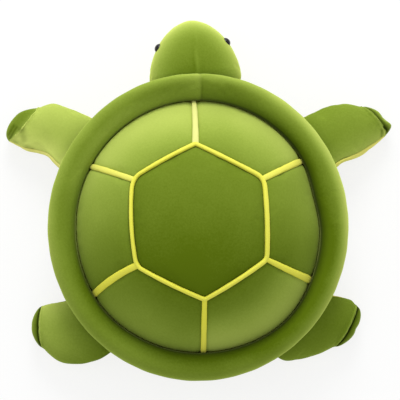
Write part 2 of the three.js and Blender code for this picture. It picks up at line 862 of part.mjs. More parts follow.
function limbSole(shape) {
  const outer = [];
  const inner = [];
  for (let i = 0; i <= soleRings; i++) {
    outer.push(soleRing(shape, puffReachDeg * share(i, soleRings), 0));
    inner.push(soleRing(shape, puffReachDeg * share(i, soleRings), clothThick));
  }
  const outerTip = middle(soleRing(shape, 90, 0));
  const innerTip = middle(soleRing(shape, 90, clothThick));
  return cappedSolid([...outer.reverse(), ...inner], outerTip, innerTip);
}

function limbFilling(shape) {
  const sections = limbSections(shape.limb);
  const rings = [];
  for (let i = fillingFirstRow; i <= limbRows; i++) {
    rings.push(sections.map((section) => limbPoint(shape, limbRowShare(i), section, fillInset)));
  }
  for (let i = 1; i <= soleRings; i++) {
    rings.push(soleRing(shape, puffReachDeg * share(i, soleRings), fillInset));
  }
  return cappedSolid(rings, middle(rings[0]), middle(soleRing(shape, 90, fillInset)));
}

function buildLimb(limb) {
  const group = new THREE.Group();
  const shape = limbShape(limb);
  const topFrom = limb.leadSeamDeg;
  const topTo = 180 - limb.trailSeamDeg;
  const top = limbCover(shape, topFrom, topTo);
  const under = limbCover(shape, topTo, fullTurnDeg + topFrom);
  addPart(group, `${limb.name}_limb_top`, top, matte(velourLime));
  addPart(group, `${limb.name}_limb_under`, under, matte(velourYellow));
  addPart(group, `${limb.name}_limb_sole`, limbSole(shape), matte(velourGreen));
  addPart(group, `${limb.name}_limb_filling`, limbFilling(shape), matte(stuffingWhite));
  const angle = radians(limb.angle);
  group.position.copy(ovalPoint(bellyRadius, angle, 0));
  const slopeAlong = Math.sin(angle) / (bellyRadius + endExtra);
  group.rotation.z = Math.atan2(slopeAlong, Math.cos(angle) / bellyRadius);
  return group;
}

const turtle = new THREE.Group();
turtle.add(buildTorso(), buildHead());
for (const limb of [frontLeft, frontRight, rearLeft, rearRight]) {
  turtle.add(buildLimb(limb));
}

export default turtle;
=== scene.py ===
# %% [markdown]
# # Plush turtle
# A stuffed turtle cushion in short-pile velour, seen from straight above.
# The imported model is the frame: its sizes and places stay as they are, and
# every soft solid in it gets a sewn and stuffed piece in its place.
# Lengths are written in millimetres and turned to metres when a mesh is made.

# %% Load the frame
import math

import bmesh
import bpy
import numpy as np
from mathutils import Matrix, Vector


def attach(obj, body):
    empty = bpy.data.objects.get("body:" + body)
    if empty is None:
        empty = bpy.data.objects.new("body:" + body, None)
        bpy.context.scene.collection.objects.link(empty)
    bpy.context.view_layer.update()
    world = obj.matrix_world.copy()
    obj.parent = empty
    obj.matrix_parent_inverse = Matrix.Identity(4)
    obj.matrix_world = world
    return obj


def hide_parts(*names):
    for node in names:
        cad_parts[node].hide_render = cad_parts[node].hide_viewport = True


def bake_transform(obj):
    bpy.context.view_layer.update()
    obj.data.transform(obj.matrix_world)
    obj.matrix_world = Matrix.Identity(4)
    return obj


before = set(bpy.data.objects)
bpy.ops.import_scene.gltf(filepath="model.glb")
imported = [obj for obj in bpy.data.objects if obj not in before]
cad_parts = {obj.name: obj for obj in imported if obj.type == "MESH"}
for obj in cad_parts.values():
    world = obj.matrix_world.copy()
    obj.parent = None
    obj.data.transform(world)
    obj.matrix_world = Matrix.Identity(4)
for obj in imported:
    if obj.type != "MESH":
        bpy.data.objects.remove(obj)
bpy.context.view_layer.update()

MM = 0.001

# %% [markdown]
# ## Camera
# The photo was taken from above with a long lens, so the sides hardly lean.
# The camera is turned a few degrees off the vertical, and its lens is worked
# out from the scale at the rim: one pixel there is a millimetre and a half.

# %% Camera
PICTURE_SIDE = 400
PIXEL_MM = 1.5
SENSOR_MM = 36
camera_place = Vector((0, 100, 2600)) * MM
camera_aim = Vector((-2.85, -39.45, 85)) * MM
picture_up = Vector((0, -1, 0))

forward = (camera_aim - camera_place).normalized()
rightward = forward.cross(picture_up).normalized()
upward = rightward.cross(forward)
camera_data = bpy.data.cameras.new("camera")
camera_data.sensor_width = SENSOR_MM
distance_mm = (camera_aim - camera_place).length / MM
camera_data.lens = SENSOR_MM * distance_mm / (PIXEL_MM * PICTURE_SIDE)
camera = bpy.data.objects.new("camera", camera_data)
bpy.context.scene.collection.objects.link(camera)
camera.matrix_world = Matrix(
    (
        (rightward.x, upward.x, -forward.x, camera_place.x),
        (rightward.y, upward.y, -forward.y, camera_place.y),
        (rightward.z, upward.z, -forward.z, camera_place.z),
        (0, 0, 0, 1),
    )
)
bpy.context.scene.camera = camera
print("lens, mm:", round(camera_data.lens, 1))


def seen_at(pixel_x, pixel_y, height_mm):
    """The plan place, in millimetres, that a pixel shows at a height."""
    middle = PICTURE_SIDE / 2
    ray = forward * distance_mm / PIXEL_MM
    ray = ray + rightward * (pixel_x - middle) + upward * (middle - pixel_y)
    start = camera_place / MM
    reach = (height_mm - start.z) / ray.z
    return np.array([start.x + ray.x * reach, start.y + ray.y * reach])


# %% [markdown]
# ## Working with bmesh
# A piece starts as one of bmesh's own shapes, such as a grid or a ball, whose
# points then go to their place on the form. The same few steps come back each
# time: read all points as an array, move them, and write them back.

# %% Helpers for meshes
def points_of(bm):
    bm.verts.ensure_lookup_table()
    return np.array([v.co for v in bm.verts], float).reshape(-1, 3)


def move_points(bm, points):
    for vert, point in zip(bm.verts, points):
        vert.co = point


def mesh_points(obj):
    flat = np.zeros(len(obj.data.vertices) * 3)
    obj.data.vertices.foreach_get("co", flat)
    return flat.reshape(-1, 3)


def set_mesh_points(obj, points):
    obj.data.vertices.foreach_set("co", np.asarray(points, np.float32).ravel())
    obj.data.update()


TOY_INSIDE = Vector((0, 0, 60))


def face_outwards(bm, inside):
    """Makes the faces agree, and turns them over if they look at inside."""
    bmesh.ops.recalc_face_normals(bm, faces=bm.faces)
    bm.normal_update()
    outward = sum(
        face.calc_area() * face.normal.dot(face.calc_center_median() - inside)
        for face in bm.faces
    )
    if outward < 0:
        bmesh.ops.reverse_faces(bm, faces=bm.faces)


def finish_piece(name, bm, material, inside=TOY_INSIDE):
    """Turns a bmesh, whose points are in millimetres, into a smooth object."""
    face_outwards(bm, inside)
    bmesh.ops.scale(bm, vec=(MM, MM, MM), verts=bm.verts)
    mesh = bpy.data.meshes.new(name)
    bm.to_mesh(mesh)
    bm.free()
    mesh.polygons.foreach_set("use_smooth", [True] * len(mesh.polygons))
    mesh.materials.append(material)
    obj = bpy.data.objects.new(name, mesh)
    bpy.context.scene.collection.objects.link(obj)
    return obj


def give_numbers(obj, name, values):
    """Keeps a number on each point, for the material to read."""
    found = obj.data.attributes.get(name)
    layer = found or obj.data.attributes.new(name, "FLOAT", "POINT")
    layer.data.foreach_set("value", np.asarray(values, np.float32))


def keep_above_floor(obj, gap_mm):
    """Flattens what the stuffing would press through the floor."""
    points = mesh_points(obj)
    points[:, 2] = np.maximum(points[:, 2], gap_mm * MM)
    set_mesh_points(obj, points)


def ease(t):
    t = np.clip(t, 0, 1)
    return t * t * (3 - 2 * t)


def bell(t):
    """1 at 0, falling to nothing by about 2 on either side."""
    return np.exp(-np.square(t))


def point_normals(obj):
    normals = np.zeros(len(obj.data.vertices) * 3)
    obj.data.vertices.foreach_get("normal", normals)
    return normals.reshape(-1, 3)


def steepness(obj):
    """0 where a point faces straight up, 1 where it faces sideways."""
    return 1 - np.clip(point_normals(obj)[:, 2], 0, 1)


def round_facets(obj):
    """Subdivides a piece once, in the render as in the view."""
    rounder = obj.modifiers.new("rounder", "SUBSURF")
    rounder.levels = 1
    rounder.render_levels = 1


print("helpers are ready")


# %% [markdown]
# ## Stuffing by simulation
# The cloth of a stuffed toy is held at its seams and pushed out by the
# filling. Blender's Cloth does just that: the seam points are pinned, air
# pressure stands for the filling, and there is no gravity. The cloth is cut a
# little larger than its frame, so it crowns between the seams and puckers near
# them. How far a point may go is capped, so that a piece keeps its size.

# %% The stuffing helper
STUFF_FRAMES = 20
STUFF_PRESSURE = 4.0
CLOTH_STIFFNESS = 12.0
CLOTH_BENDING = 0.5
CLOTH_MASS = 0.3
AIR_DAMPING = 2.0


def stuff(obj, held, cap_mm, slack):
    """Swells obj under pressure. held is 1 at points that are sewn fast, and
    slack is the share by which the cloth is cut larger than its frame."""
    rest = mesh_points(obj)
    group = obj.vertex_groups.new(name="sewn")
    for index, weight in enumerate(held):
        if weight > 0:
            group.add([index], float(weight), "REPLACE")
    cloth = obj.modifiers.new("stuffing", "CLOTH")
    settings = cloth.settings
    settings.quality = 5
    settings.mass = CLOTH_MASS
    settings.air_damping = AIR_DAMPING
    settings.tension_stiffness = CLOTH_STIFFNESS
    settings.compression_stiffness = CLOTH_STIFFNESS
    settings.shear_stiffness = CLOTH_STIFFNESS / 2
    settings.bending_stiffness = CLOTH_BENDING
    settings.vertex_group_mass = "sewn"
    settings.shrink_min = -slack
    settings.use_pressure = True
    settings.uniform_pressure_force = STUFF_PRESSURE
    settings.effector_weights.gravity = 0
    cloth.collision_settings.use_collision = False
    cloth.collision_settings.use_self_collision = False
    cloth.point_cache.frame_start = 1
    cloth.point_cache.frame_end = STUFF_FRAMES
    scene = bpy.context.scene
    for step in range(1, STUFF_FRAMES + 1):
        scene.frame_set(step)
    graph = bpy.context.evaluated_depsgraph_get()
    swollen = obj.evaluated_get(graph)
    flat = np.zeros(len(rest) * 3)
    swollen.data.vertices.foreach_get("co", flat)
    moved = flat.reshape(-1, 3) - rest
    obj.modifiers.remove(cloth)
    obj.vertex_groups.remove(group)
    scene.frame_set(1)
    length = np.linalg.norm(moved, axis=1)
    cap = cap_mm * MM
    kept = cap * np.tanh(length / cap) / np.maximum(length, 1e-9)
    set_mesh_points(obj, rest + moved * kept[:, None])
    most_mm = round(float(length.max() / MM), 1)
    print(obj.name, "swells, mm:", most_mm, "kept under", cap_mm)


CLOTH_THICK = 1.6


def cloth_wall(obj):
    """Gives an open cover its thickness inwards and rounds its facets."""
    wall = obj.modifiers.new("cloth thickness", "SOLIDIFY")
    wall.thickness = CLOTH_THICK * MM
    wall.offset = -1
    round_facets(obj)


print("a cover is", CLOTH_THICK, "mm thick")


# %% [markdown]
# ## Building materials
# A material is a tree of shader nodes. One small function adds a node with its
# settings, its values and its links, whatever its kind, so each material reads
# as the list of its nodes. Colours are written as on the screen, in sRGB, and
# turned to the linear numbers that the shader works with.

# %% Helpers for materials
def linear(hex_colour):
    """An sRGB hex colour as the linear numbers that Blender takes."""
    parts = [int(hex_colour[i : i + 2], 16) / 255 for i in (1, 3, 5)]
    rgb = [c / 12.92 if c <= 0.04045 else ((c + 0.055) / 1.055) ** 2.4 for c in parts]
    return (*rgb, 1)


def add_node(material, kind, settings=(), inputs=(), links=()):
    """Adds a node with its settings, its input values and links into it."""
    node = material.node_tree.nodes.new(kind)
    for key, value in dict(settings).items():
        setattr(node, key, value)
    for key, value in dict(inputs).items():
        node.inputs[key].default_value = value
    for key, socket in dict(links).items():
        material.node_tree.links.new(socket, node.inputs[key])
    return node


def bare_material(name):
    material = bpy.data.materials.new(name)
    material.use_nodes = True
    material.node_tree.nodes.clear()
    return material


def noise_scale(size_mm):
    """The scale at which a noise has features of about this size."""
    return 1 / (size_mm * MM)


print("green, linear:", [round(c, 3) for c in linear("#8a9d3e")])


# %% [markdown]
# ## Velour
# The toy is polyester velour: a knitted ground with a short, dense pile of
# about one and a half millimetres. Seen along the pile it is deep in colour,
# and at a grazing angle the fibre ends catch the light, so every outline is
# pale. Principled's sheen does that. Where a hand has brushed the pile the
# other way, the cloth is a shade lighter, which two noises give. A number kept
# on each piece's points is part brushed pile and part painted light: paler
# where a piece turns to the lamp, painted sheen where it turns sideways, and
# deeper as painted shade where it turns away. A second number mixes in a dark
# colour as painted shade in creases, grooves and seams. The pile itself is
# finer than a pixel, so it is drawn in tufts of about three millimetres, twice
# as coarse as real pile.

# %% The velour material
BRUSHED_SIZE = 110
BRUSHED_CHANGE = 0.05
TUFT_SIZE = 3
TUFT_CHANGE = 0.04
PILE_BUMP = 0.45
PILE_IOR = 1.5
PILE_SPECULAR = 0.02
PILE_ROUGHNESS = 0.9
SHEEN_ROUGHNESS = 0.35


def pile_paleness(material, brushed, tufts):
    """How pale the pile is: nap and painted light, with hand-sized patches and tufts."""
    brushed_part = add_node(
        material,
        "ShaderNodeMapRange",
        inputs={
            "From Min": 0.3,
            "From Max": 0.7,
            "To Min": -BRUSHED_CHANGE,
            "To Max": BRUSHED_CHANGE,
        },
        links={"Value": brushed.outputs["Fac"]},
    )
    tuft_part = add_node(
        material,
        "ShaderNodeMapRange",
        inputs={
            "From Min": 0.25,
            "From Max": 0.75,
            "To Min": -TUFT_CHANGE,
            "To Max": TUFT_CHANGE,
        },
        links={"Value": tufts.outputs["Fac"]},
    )
    both = add_node(
        material,
        "ShaderNodeMath",
        {"operation": "ADD"},
        links={0: brushed_part.outputs["Result"], 1: tuft_part.outputs["Result"]},
    )
    nap_and_light = add_node(material, "ShaderNodeAttribute", {"attribute_name": "nap_and_light"})
    paleness = add_node(
        material,
        "ShaderNodeMath",
        {"operation": "ADD", "use_clamp": True},
        links={0: both.outputs["Value"], 1: nap_and_light.outputs["Fac"]},
    )
    return paleness.outputs["Value"]


def velour(name, pile_colours, crease_shading, sheen_colour, sheen):
    """Short-pile velour: deep along the pile, paler with its nap and painted light.

    The pile scatters, so it hardly mirrors anything; its only gloss is the
    sheen of the fibre ends.
    """
    material = bare_material(name)
    place = add_node(material, "ShaderNodeTexCoord").outputs["Object"]
    brushed = add_node(
        material,
        "ShaderNodeTexNoise",
        inputs={"Scale": noise_scale(BRUSHED_SIZE), "Detail": 2, "Roughness": 0.45},
        links={"Vector": place},
    )
    tufts = add_node(
        material,
        "ShaderNodeTexNoise",
        inputs={"Scale": noise_scale(TUFT_SIZE), "Detail": 4, "Roughness": 0.6},
        links={"Vector": place},
    )
    paleness = pile_paleness(material, brushed, tufts)
    pile = add_node(material, "ShaderNodeValToRGB", links={"Fac": paleness})
    stops = pile.color_ramp.elements
    for place_on_ramp, colour in pile_colours[1:-1]:
        stops.new(place_on_ramp).color = linear(colour)
    stops[0].color = linear(pile_colours[0][1])
    stops[-1].color = linear(pile_colours[-1][1])
    # Painted shade: a number on each point mixes in the dark crease colour.
    seam_shade = add_node(material, "ShaderNodeAttribute", {"attribute_name": "seam_shade"})
    colour = add_node(
        material,
        "ShaderNodeMix",
        {"data_type": "RGBA"},
        inputs={"B": linear(crease_shading)},
        links={"Factor": seam_shade.outputs["Fac"], "A": pile.outputs["Color"]},
    )
    bump = add_node(
        material,
        "ShaderNodeBump",
        inputs={"Strength": 0.3, "Distance": PILE_BUMP * MM},
        links={"Height": tufts.outputs["Fac"]},
    )
    shader = add_node(
        material,
        "ShaderNodeBsdfPrincipled",
        inputs={
            "Roughness": PILE_ROUGHNESS,
            "IOR": PILE_IOR,
            "Specular IOR Level": PILE_SPECULAR,
            "Sheen Weight": sheen,
            "Sheen Roughness": SHEEN_ROUGHNESS,
            "Sheen Tint": linear(sheen_colour),
        },
        links={"Base Color": colour.outputs["Result"], "Normal": bump.outputs["Normal"]},
    )
    add_node(
        material, "ShaderNodeOutputMaterial", links={"Surface": shader.outputs["BSDF"]}
    )
    return material


# %% [markdown]
# Three velours and two plastics make the toy. A pile goes from its deep colour
# to its brushed or painted-light one. The crease colour is darker than both:
# it is painted shade for creases, grooves and seams, where little light comes
# out.

# %% Materials of the toy
green_pile = [(0, "#54680d"), (0.2, "#708429"), (0.4, "#8a9d3e"), (1, "#c6d36c")]
green_velour = velour("polyester velour green", green_pile, "#1c2801", "#d0e670", 0.55)
yellow_pile = [(0, "#cfca40"), (1, "#ebe984")]
yellow_velour = velour("polyester velour yellow", yellow_pile, "#8f8c22", "#f4f29a", 0.4)
tape_pile = [(0, "#e2de3e"), (1, "#cfd28a")]
yellow_tape = velour("folded velour tape", tape_pile, "#77740c", "#f4f29a", 0.3)
print("velours:", [material.name for material in bpy.data.materials])

# %% Plastics
PLASTIC_IOR = 1.53
FLOW_MARK_SIZE = 2.5
FLOW_MARK_BUMP = 0.05


def moulded_plastic(name, colour, roughness, specular):
    """A moulded part: an even colour with faint flow marks in its gloss."""
    material = bare_material(name)
    place = add_node(material, "ShaderNodeTexCoord").outputs["Object"]
    marks = add_node(
        material,
        "ShaderNodeTexNoise",
        inputs={"Scale": noise_scale(FLOW_MARK_SIZE), "Detail": 3},
        links={"Vector": place},
    )
    gloss = add_node(
        material,
        "ShaderNodeMapRange",
        inputs={"To Min": roughness * 0.8, "To Max": roughness * 1.3},
        links={"Value": marks.outputs["Fac"]},
    )
    bump = add_node(
        material,
        "ShaderNodeBump",
        inputs={"Strength": 0.05, "Distance": FLOW_MARK_BUMP * MM},
        links={"Height": marks.outputs["Fac"]},
    )
    shader = add_node(
        material,
        "ShaderNodeBsdfPrincipled",
        inputs={
            "Base Color": linear(colour),
            "IOR": PLASTIC_IOR,
            "Specular IOR Level": specular,
        },
        links={"Roughness": gloss.outputs["Result"], "Normal": bump.outputs["Normal"]},
    )
    add_node(
        material, "ShaderNodeOutputMaterial", links={"Surface": shader.outputs["BSDF"]}
    )
    return material


# Safety eyes are injection-moulded ABS, polished in the mould.
eye_plastic = moulded_plastic("polished black ABS", "#030304", 0.12, 0.3)
# The washers that lock them are natural polypropylene, satin and milky.
washer_plastic = moulded_plastic("moulded polypropylene", "#d9d9d0", 0.45, 0.5)
print("materials:", [material.name for material in bpy.data.materials])

# %% [markdown]
# ## The forms of the frame
# The visual pieces have to sit where the solids are, so the script repeats
# the part's own numbers: the dome over the shell, the rim's section, the
# belly, the head and the four limbs.

# %% The dome
SHELL_HEIGHT = 200.0
GROOVE_RADIUS = 181.0
GROOVE_HEIGHT = 92.0
END_EXTRA = 5.5
OVAL = 1 + END_EXTRA / GROOVE_RADIUS
DOME_ROUNDNESS = 2.1
DOME_REACH = GROOVE_RADIUS * 1.075


def round_fall(share, power):
    return np.maximum(0, 1 - np.abs(share) ** power) ** (1 / power)


dome_rise = (SHELL_HEIGHT - GROOVE_HEIGHT) / (
    1 - round_fall(GROOVE_RADIUS / DOME_REACH, DOME_ROUNDNESS)
)
dome_base = SHELL_HEIGHT - dome_rise


def dome_height(x, y):
    share = np.hypot(x, y / OVAL) / DOME_REACH
    return dome_base + dome_rise * round_fall(share, DOME_ROUNDNESS)


def on_dome(plan, lift):
    """Points over the dome at plan places, lifted square to its surface."""
    x, y = plan[..., 0], plan[..., 1]
    step = 0.2
    slope_x = (dome_height(x + step, y) - dome_height(x - step, y)) / (2 * step)
    slope_y = (dome_height(x, y + step) - dome_height(x, y - step)) / (2 * step)
    normal = np.stack([-slope_x, -slope_y, np.ones_like(x)], -1)
    normal /= np.linalg.norm(normal, axis=-1, keepdims=True)
    surface = np.stack([x, y, dome_height(x, y)], -1)
    return surface + normal * np.asarray(lift)[..., None]


def plan_point(radius, angle_deg):
    """A place on an oval round the shell's centre."""
    angle = np.radians(angle_deg)
    return np.stack([radius * np.cos(angle), radius * OVAL * np.sin(angle)], -1)


print("dome, mm over its groove:", SHELL_HEIGHT - GROOVE_HEIGHT)


# %% [markdown]
# ## Seams of the shell
# Six seams run from the corners of a hexagon to the groove. In the photo the
# hexagon's sides are not quite straight: the left and right ones bow out by a
# few millimetres, and one spoke is curved. Both the panels and the tape over
# their seams are built on these same lines, so they always meet.

# %% Seam lines
HEXAGON_RADIUS = 109.0
HEXAGON_FORWARD = 3.0
hexagon_angles = [-88, -33, 35, 95, 152, 213]
hexagon_shares = [1.01, 1.01, 0.98, 1, 1.02, 1.02]
spoke_end_angles = [-88, -28.5, 32.5, 92.5, 155, 211.5]
side_bows = [1.5, 4.5, 2.0, 2.0, 2.2, 0.4]
spoke_bows = [0.8, 0.0, 3.2, 0.0, 0.8, 0.0]
corner_rounding = [2.5, 13.0, 8.0, 2.5, 7.0, 12.0]

corners = np.array(
    [
        plan_point(HEXAGON_RADIUS * share, angle) - (0, HEXAGON_FORWARD)
        for share, angle in zip(hexagon_shares, hexagon_angles)
    ]
)
hexagon_centre = corners.mean(axis=0)
SIDE_LENGTH = float(np.linalg.norm(corners[1] - corners[0]))


def bowed(start, end, t, bow):
    """A line from start to end that bows to its right-hand side."""
    t = np.asarray(t, float)[..., None]
    along = end - start
    side = np.array([along[1], -along[0]]) / np.linalg.norm(along)
    return start + along * t + side * bow * 4 * t * (1 - t)


def sharp_corner(index):
    """A corner set out a little, so that rounding brings it to its place."""
    arm = corners[index] - hexagon_centre
    return corners[index] + arm / np.linalg.norm(arm) * corner_rounding[index] / 4


def sharp_side(index, t):
    return bowed(sharp_corner(index), sharp_corner((index + 1) % 6), t, side_bows[index])


def hexagon_side(index, t):
    """A side of the hexagon whose two ends run into rounded corners."""
    t = np.asarray(t, float)
    line = sharp_side(index, t)
    for corner, place in ((index, t), ((index + 1) % 6, t - 1)):
        reach = corner_rounding[corner] / SIDE_LENGTH
        before = sharp_side((corner - 1) % 6, 1 - reach)
        after = sharp_side(corner, reach)
        u = np.clip((place / reach + 1) / 2, 0, 1)[..., None]
        curve = (1 - u) ** 2 * before + 2 * u * (1 - u) * sharp_corner(corner)
        curve = curve + u**2 * after
        line = np.where((np.abs(place) < reach)[..., None], curve, line)
    return line


def seam_corner(index):
    return hexagon_side(index, 0.0)


def spoke_line(index, t, end_radius=GROOVE_RADIUS):
    end = plan_point(end_radius, spoke_end_angles[index])
    return bowed(seam_corner(index), end, t, spoke_bows[index])


print("hexagon side, mm:", round(SIDE_LENGTH, 1))


# %% [markdown]
# The groove round the shell is not a true circle: the thread has drawn it
# outwards at the rear right and a little at the rear left, and inwards at the
# right side. Panels, spokes and rim follow the same pull.

# %% The groove's pull
GROOVE_PULL = 1.2
PULL_STARTS = 118.0
PULL_ENDS = 216.0
PULL_FADES = 32.0
groove_pulls = [(134, 24, 5.8), (40, 20, 2.4), (-166, 13, -5.0)]


def pull_groove(points):
    """Moves the groove in plan, and what lies near it less and less."""
    x, y = points[:, 0], points[:, 1] / OVAL
    radius = np.hypot(x, y)
    turn = np.degrees(np.arctan2(y, x))
    pull = np.full(len(points), GROOVE_PULL)
    for middle, wide, far in groove_pulls:
        pull += far * bell(((turn - middle + 180) % 360 - 180) / wide)
    share = ease((radius - PULL_STARTS) / (GROOVE_RADIUS - PULL_STARTS))
    share = share * ease((PULL_ENDS - radius) / PULL_FADES)
    pulled = points.copy()
    pulled[:, :2] *= (1 + pull * share / np.maximum(radius, 1))[:, None]
    return pulled


print("most pull, mm:", GROOVE_PULL + max(far for _, _, far in groove_pulls))


# %% [markdown]
# ## Shell panels
# Each panel is a flat cut of velour that the filling pushes up between its
# seams. A grid gets its four edges on the seam lines and its middle on the
# dome, the edges are sunk where the sewing holds them down, and the cloth
# simulation crowns the rest.

# %% A panel's form
SEAM_SINK = 3.2
SEAM_REACH = 9.0
SEWN_WITHIN = 0.5
CREASE_WIDE = 3.0
CREASE_SHADE = 0.85
PANEL_ACROSS = 40
PANEL_OUT = 26
PANEL_DEEP = 75
PANEL_EDGE_GAP = 0.2
PANEL_CAP = 3.5
PANEL_SLACK = 0.006
GROOVE_TUCK = 9.0


def seam_sink(distance):
    """How deep the cloth is drawn in at a distance from a seam."""
    return SEAM_SINK * bell(np.asarray(distance) / SEAM_REACH * 1.6)


def panel_plan(index, s, t, end_radius):
    """A place between two spokes: s runs outwards, t along the side."""
    after = (index + 1) % 6
    start_deg = spoke_end_angles[index]
    sweep_deg = (spoke_end_angles[after] - start_deg) % 360
    inner = hexagon_side(index, t)
    outer = plan_point(end_radius, start_deg + sweep_deg * t)
    first = spoke_line(index, s, end_radius)
    last = spoke_line(after, s, end_radius)
    start_edge = plan_point(end_radius, start_deg)
    end_edge = plan_point(end_radius, start_deg + sweep_deg)
    s, t = s[..., None], t[..., None]
    flat = (1 - s) * ((1 - t) * seam_corner(index) + t * seam_corner(after))
    flat = flat + s * ((1 - t) * start_edge + t * end_edge)
    return (1 - s) * inner + s * outer + (1 - t) * first + t * last - flat


# For each panel, all painted light: its paleness, what it gains towards the
# groove as painted sheen and towards the head as painted light, and how dark
# its tucked-in edge is as painted shade in the groove.
panel_lighting = [0.34, 0.23, 0.08, 0.07, 0.13, 0.26]
panel_rim_sheen = [0.34, 0.14, 0.2, 0.45, 0.12, 0.34]
panel_light_forwards = [0.0, 0.2, 0.0, 0.0, 0.12, 0.0]
panel_groove_shades = [0.12, 0.5, 0.6, 0.6, 0.6, 0.55]


def panel_painted_light(points, index):
    """Painted light: panels facing the lamp are paler, the rear ones deeper."""
    out = np.hypot(points[:, 0], points[:, 1]) / GROOVE_RADIUS
    nap_and_light = panel_lighting[index] + panel_rim_sheen[index] * ease((out - 0.6) / 0.4)
    forwards = np.clip(-points[:, 1] / 90, -1, 1)
    return nap_and_light + panel_light_forwards[index] * forwards


def make_shell_panel(index):
    bm = bmesh.new()
    bmesh.ops.create_grid(bm, x_segments=PANEL_ACROSS, y_segments=PANEL_OUT, size=0.5)
    grid = points_of(bm) + 0.5
    t = grid[:, 0]
    s = np.sin(grid[:, 1] * math.pi / 2) ** 0.9
    edge = GROOVE_RADIUS - PANEL_EDGE_GAP
    plan = panel_plan(index, s, t, edge)
    first_side = panel_plan(index, s, np.zeros_like(t), edge)
    last_side = panel_plan(index, s, np.ones_like(t), edge)
    width = np.linalg.norm(last_side - first_side, axis=1)
    to_side = np.minimum(t, 1 - t) * width
    to_hexagon = s * PANEL_DEEP
    sink = np.maximum(seam_sink(to_side), seam_sink(to_hexagon))
    points = on_dome(plan, -sink)
    last_row = grid[:, 1] > 1 - 0.5 / PANEL_OUT
    points[last_row, 2] -= GROOVE_TUCK
    move_points(bm, pull_groove(points))
    panel = finish_piece(f"shell_panel_{index + 1}_cover", bm, green_velour)
    sewn = (np.minimum(to_side, to_hexagon) < SEWN_WITHIN) | (s > 0.985)
    stuff(panel, sewn.astype(float), PANEL_CAP, PANEL_SLACK)
    # Painted shade in the seams' creases and on the edge tucked into the groove.
    crease_shading = CREASE_SHADE * bell(np.minimum(to_side, to_hexagon) / CREASE_WIDE)
    groove_shade = panel_groove_shades[index] * last_row
    give_numbers(panel, "seam_shade", np.maximum(crease_shading, groove_shade))
    give_numbers(panel, "nap_and_light", panel_painted_light(mesh_points(panel) / MM, index))
    cloth_wall(panel)
    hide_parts(f"shell_panel_{index + 1}")
    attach(panel, "torso")
    return panel


panels = [make_shell_panel(index) for index in range(6)]
print("panels:", len(panels), "of", len(panels[0].data.vertices), "points")

# %% [markdown]
# ## Hexagon panel
# The middle panel is a disc of rings whose outline follows the hexagon. It is
# the highest part of the shell and faces straight up, along its pile, so it
# gets the deepest colour as painted shade, with painted light towards the
# head and painted shade in its seam's crease.

# %% Hexagon panel
HEXAGON_AROUND = 120
HEXAGON_RINGS = 22
HEXAGON_NAP = 0.07
HEXAGON_LIGHT_FORWARDS = 0.1


def hexagon_outline(turn):
    """The hexagon's border at a share of the way round it."""
    index = np.floor(turn * 6).astype(int) % 6
    part = turn * 6 - np.floor(turn * 6)
    border = np.zeros((len(turn), 2))
    for side in range(6):
        chosen = index == side
        border[chosen] = hexagon_side(side, part[chosen])
    return border


def make_hexagon_panel():
    bm = bmesh.new()
    bmesh.ops.create_uvsphere(
        bm, u_segments=HEXAGON_AROUND, v_segments=2 * HEXAGON_RINGS, radius=1
    )
    below = [v for v in bm.verts if v.co.z < -1e-4]
    bmesh.ops.delete(bm, geom=below, context="VERTS")
    ball = points_of(bm)
    turn = (np.arctan2(ball[:, 1], ball[:, 0]) / (2 * math.pi)) % 1
    reach = np.arccos(np.clip(ball[:, 2], -1, 1)) / (math.pi / 2)
    arm = hexagon_outline(turn) - hexagon_centre
    plan = hexagon_centre + arm * reach[:, None]
    to_seam = np.linalg.norm(arm, axis=1) * (1 - reach)
    move_points(bm, on_dome(plan, -seam_sink(to_seam)))
    panel = finish_piece("shell_hexagon_cover", bm, green_velour)
    sewn = to_seam < SEWN_WITHIN
    stuff(panel, sewn.astype(float), PANEL_CAP, PANEL_SLACK)
    give_numbers(panel, "seam_shade", CREASE_SHADE * bell(to_seam / CREASE_WIDE))
    forwards = np.clip(-mesh_points(panel)[:, 1] / (HEXAGON_RADIUS * MM), -1, 1)
    give_numbers(panel, "nap_and_light", HEXAGON_NAP + HEXAGON_LIGHT_FORWARDS * forwards)
    cloth_wall(panel)
    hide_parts("shell_hexagon_panel")
    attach(panel, "torso")
    return panel


hexagon_cover = make_hexagon_panel()
print("hexagon panel:", len(hexagon_cover.data.vertices), "points")

# %% [markdown]
# ## Yellow tape
# Folded velour tape is sewn over the shell's seams. One closed strip runs
# round the hexagon, and six shorter ones go from its corners into the groove.
# A tape is a ball drawn out along its seam line: its poles become the rounded
# ends, its girth the tape's soft section, flat underneath.

# %% Tape section
TAPE_RISE = 3.4
TAPE_BED = 1.4
TAPE_UNDER = 1.0
TAPE_ROUNDNESS = 0.8
# Painted highlight along each tape's top, painted shade along its edges.
TAPE_SUNLIT = 0.12
TAPE_EDGE_SHADE = 0.6


def tape_points(place, heading, section, half, rise):
    """Points of a tape: across its heading and up from its bed."""
    across = np.stack([-heading[:, 1], heading[:, 0]], -1)
    across /= np.linalg.norm(across, axis=1, keepdims=True)
    c, s = np.cos(section), np.sin(section)
    plan = place + across * (half * np.sign(c) * np.abs(c) ** TAPE_ROUNDNESS)[:, None]
    over, under = rise * np.abs(s) ** TAPE_ROUNDNESS, -TAPE_UNDER * np.abs(s)
    return on_dome(plan, np.where(s > 0, over, under) - TAPE_BED)


def dress_tape(tape, node, nap_and_light, section):
    """Gives a tape its pile, painted highlight and painted edge shade, and puts it on the
    shell.
    """
    give_numbers(tape, "nap_and_light", nap_and_light + TAPE_SUNLIT * np.sin(section))
    give_numbers(tape, "seam_shade", TAPE_EDGE_SHADE * bell((np.sin(section) + 0.1) / 0.25))
    round_facets(tape)
    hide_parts(node)
    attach(tape, "torso")


print("tape stands up, mm:", TAPE_RISE - TAPE_BED)

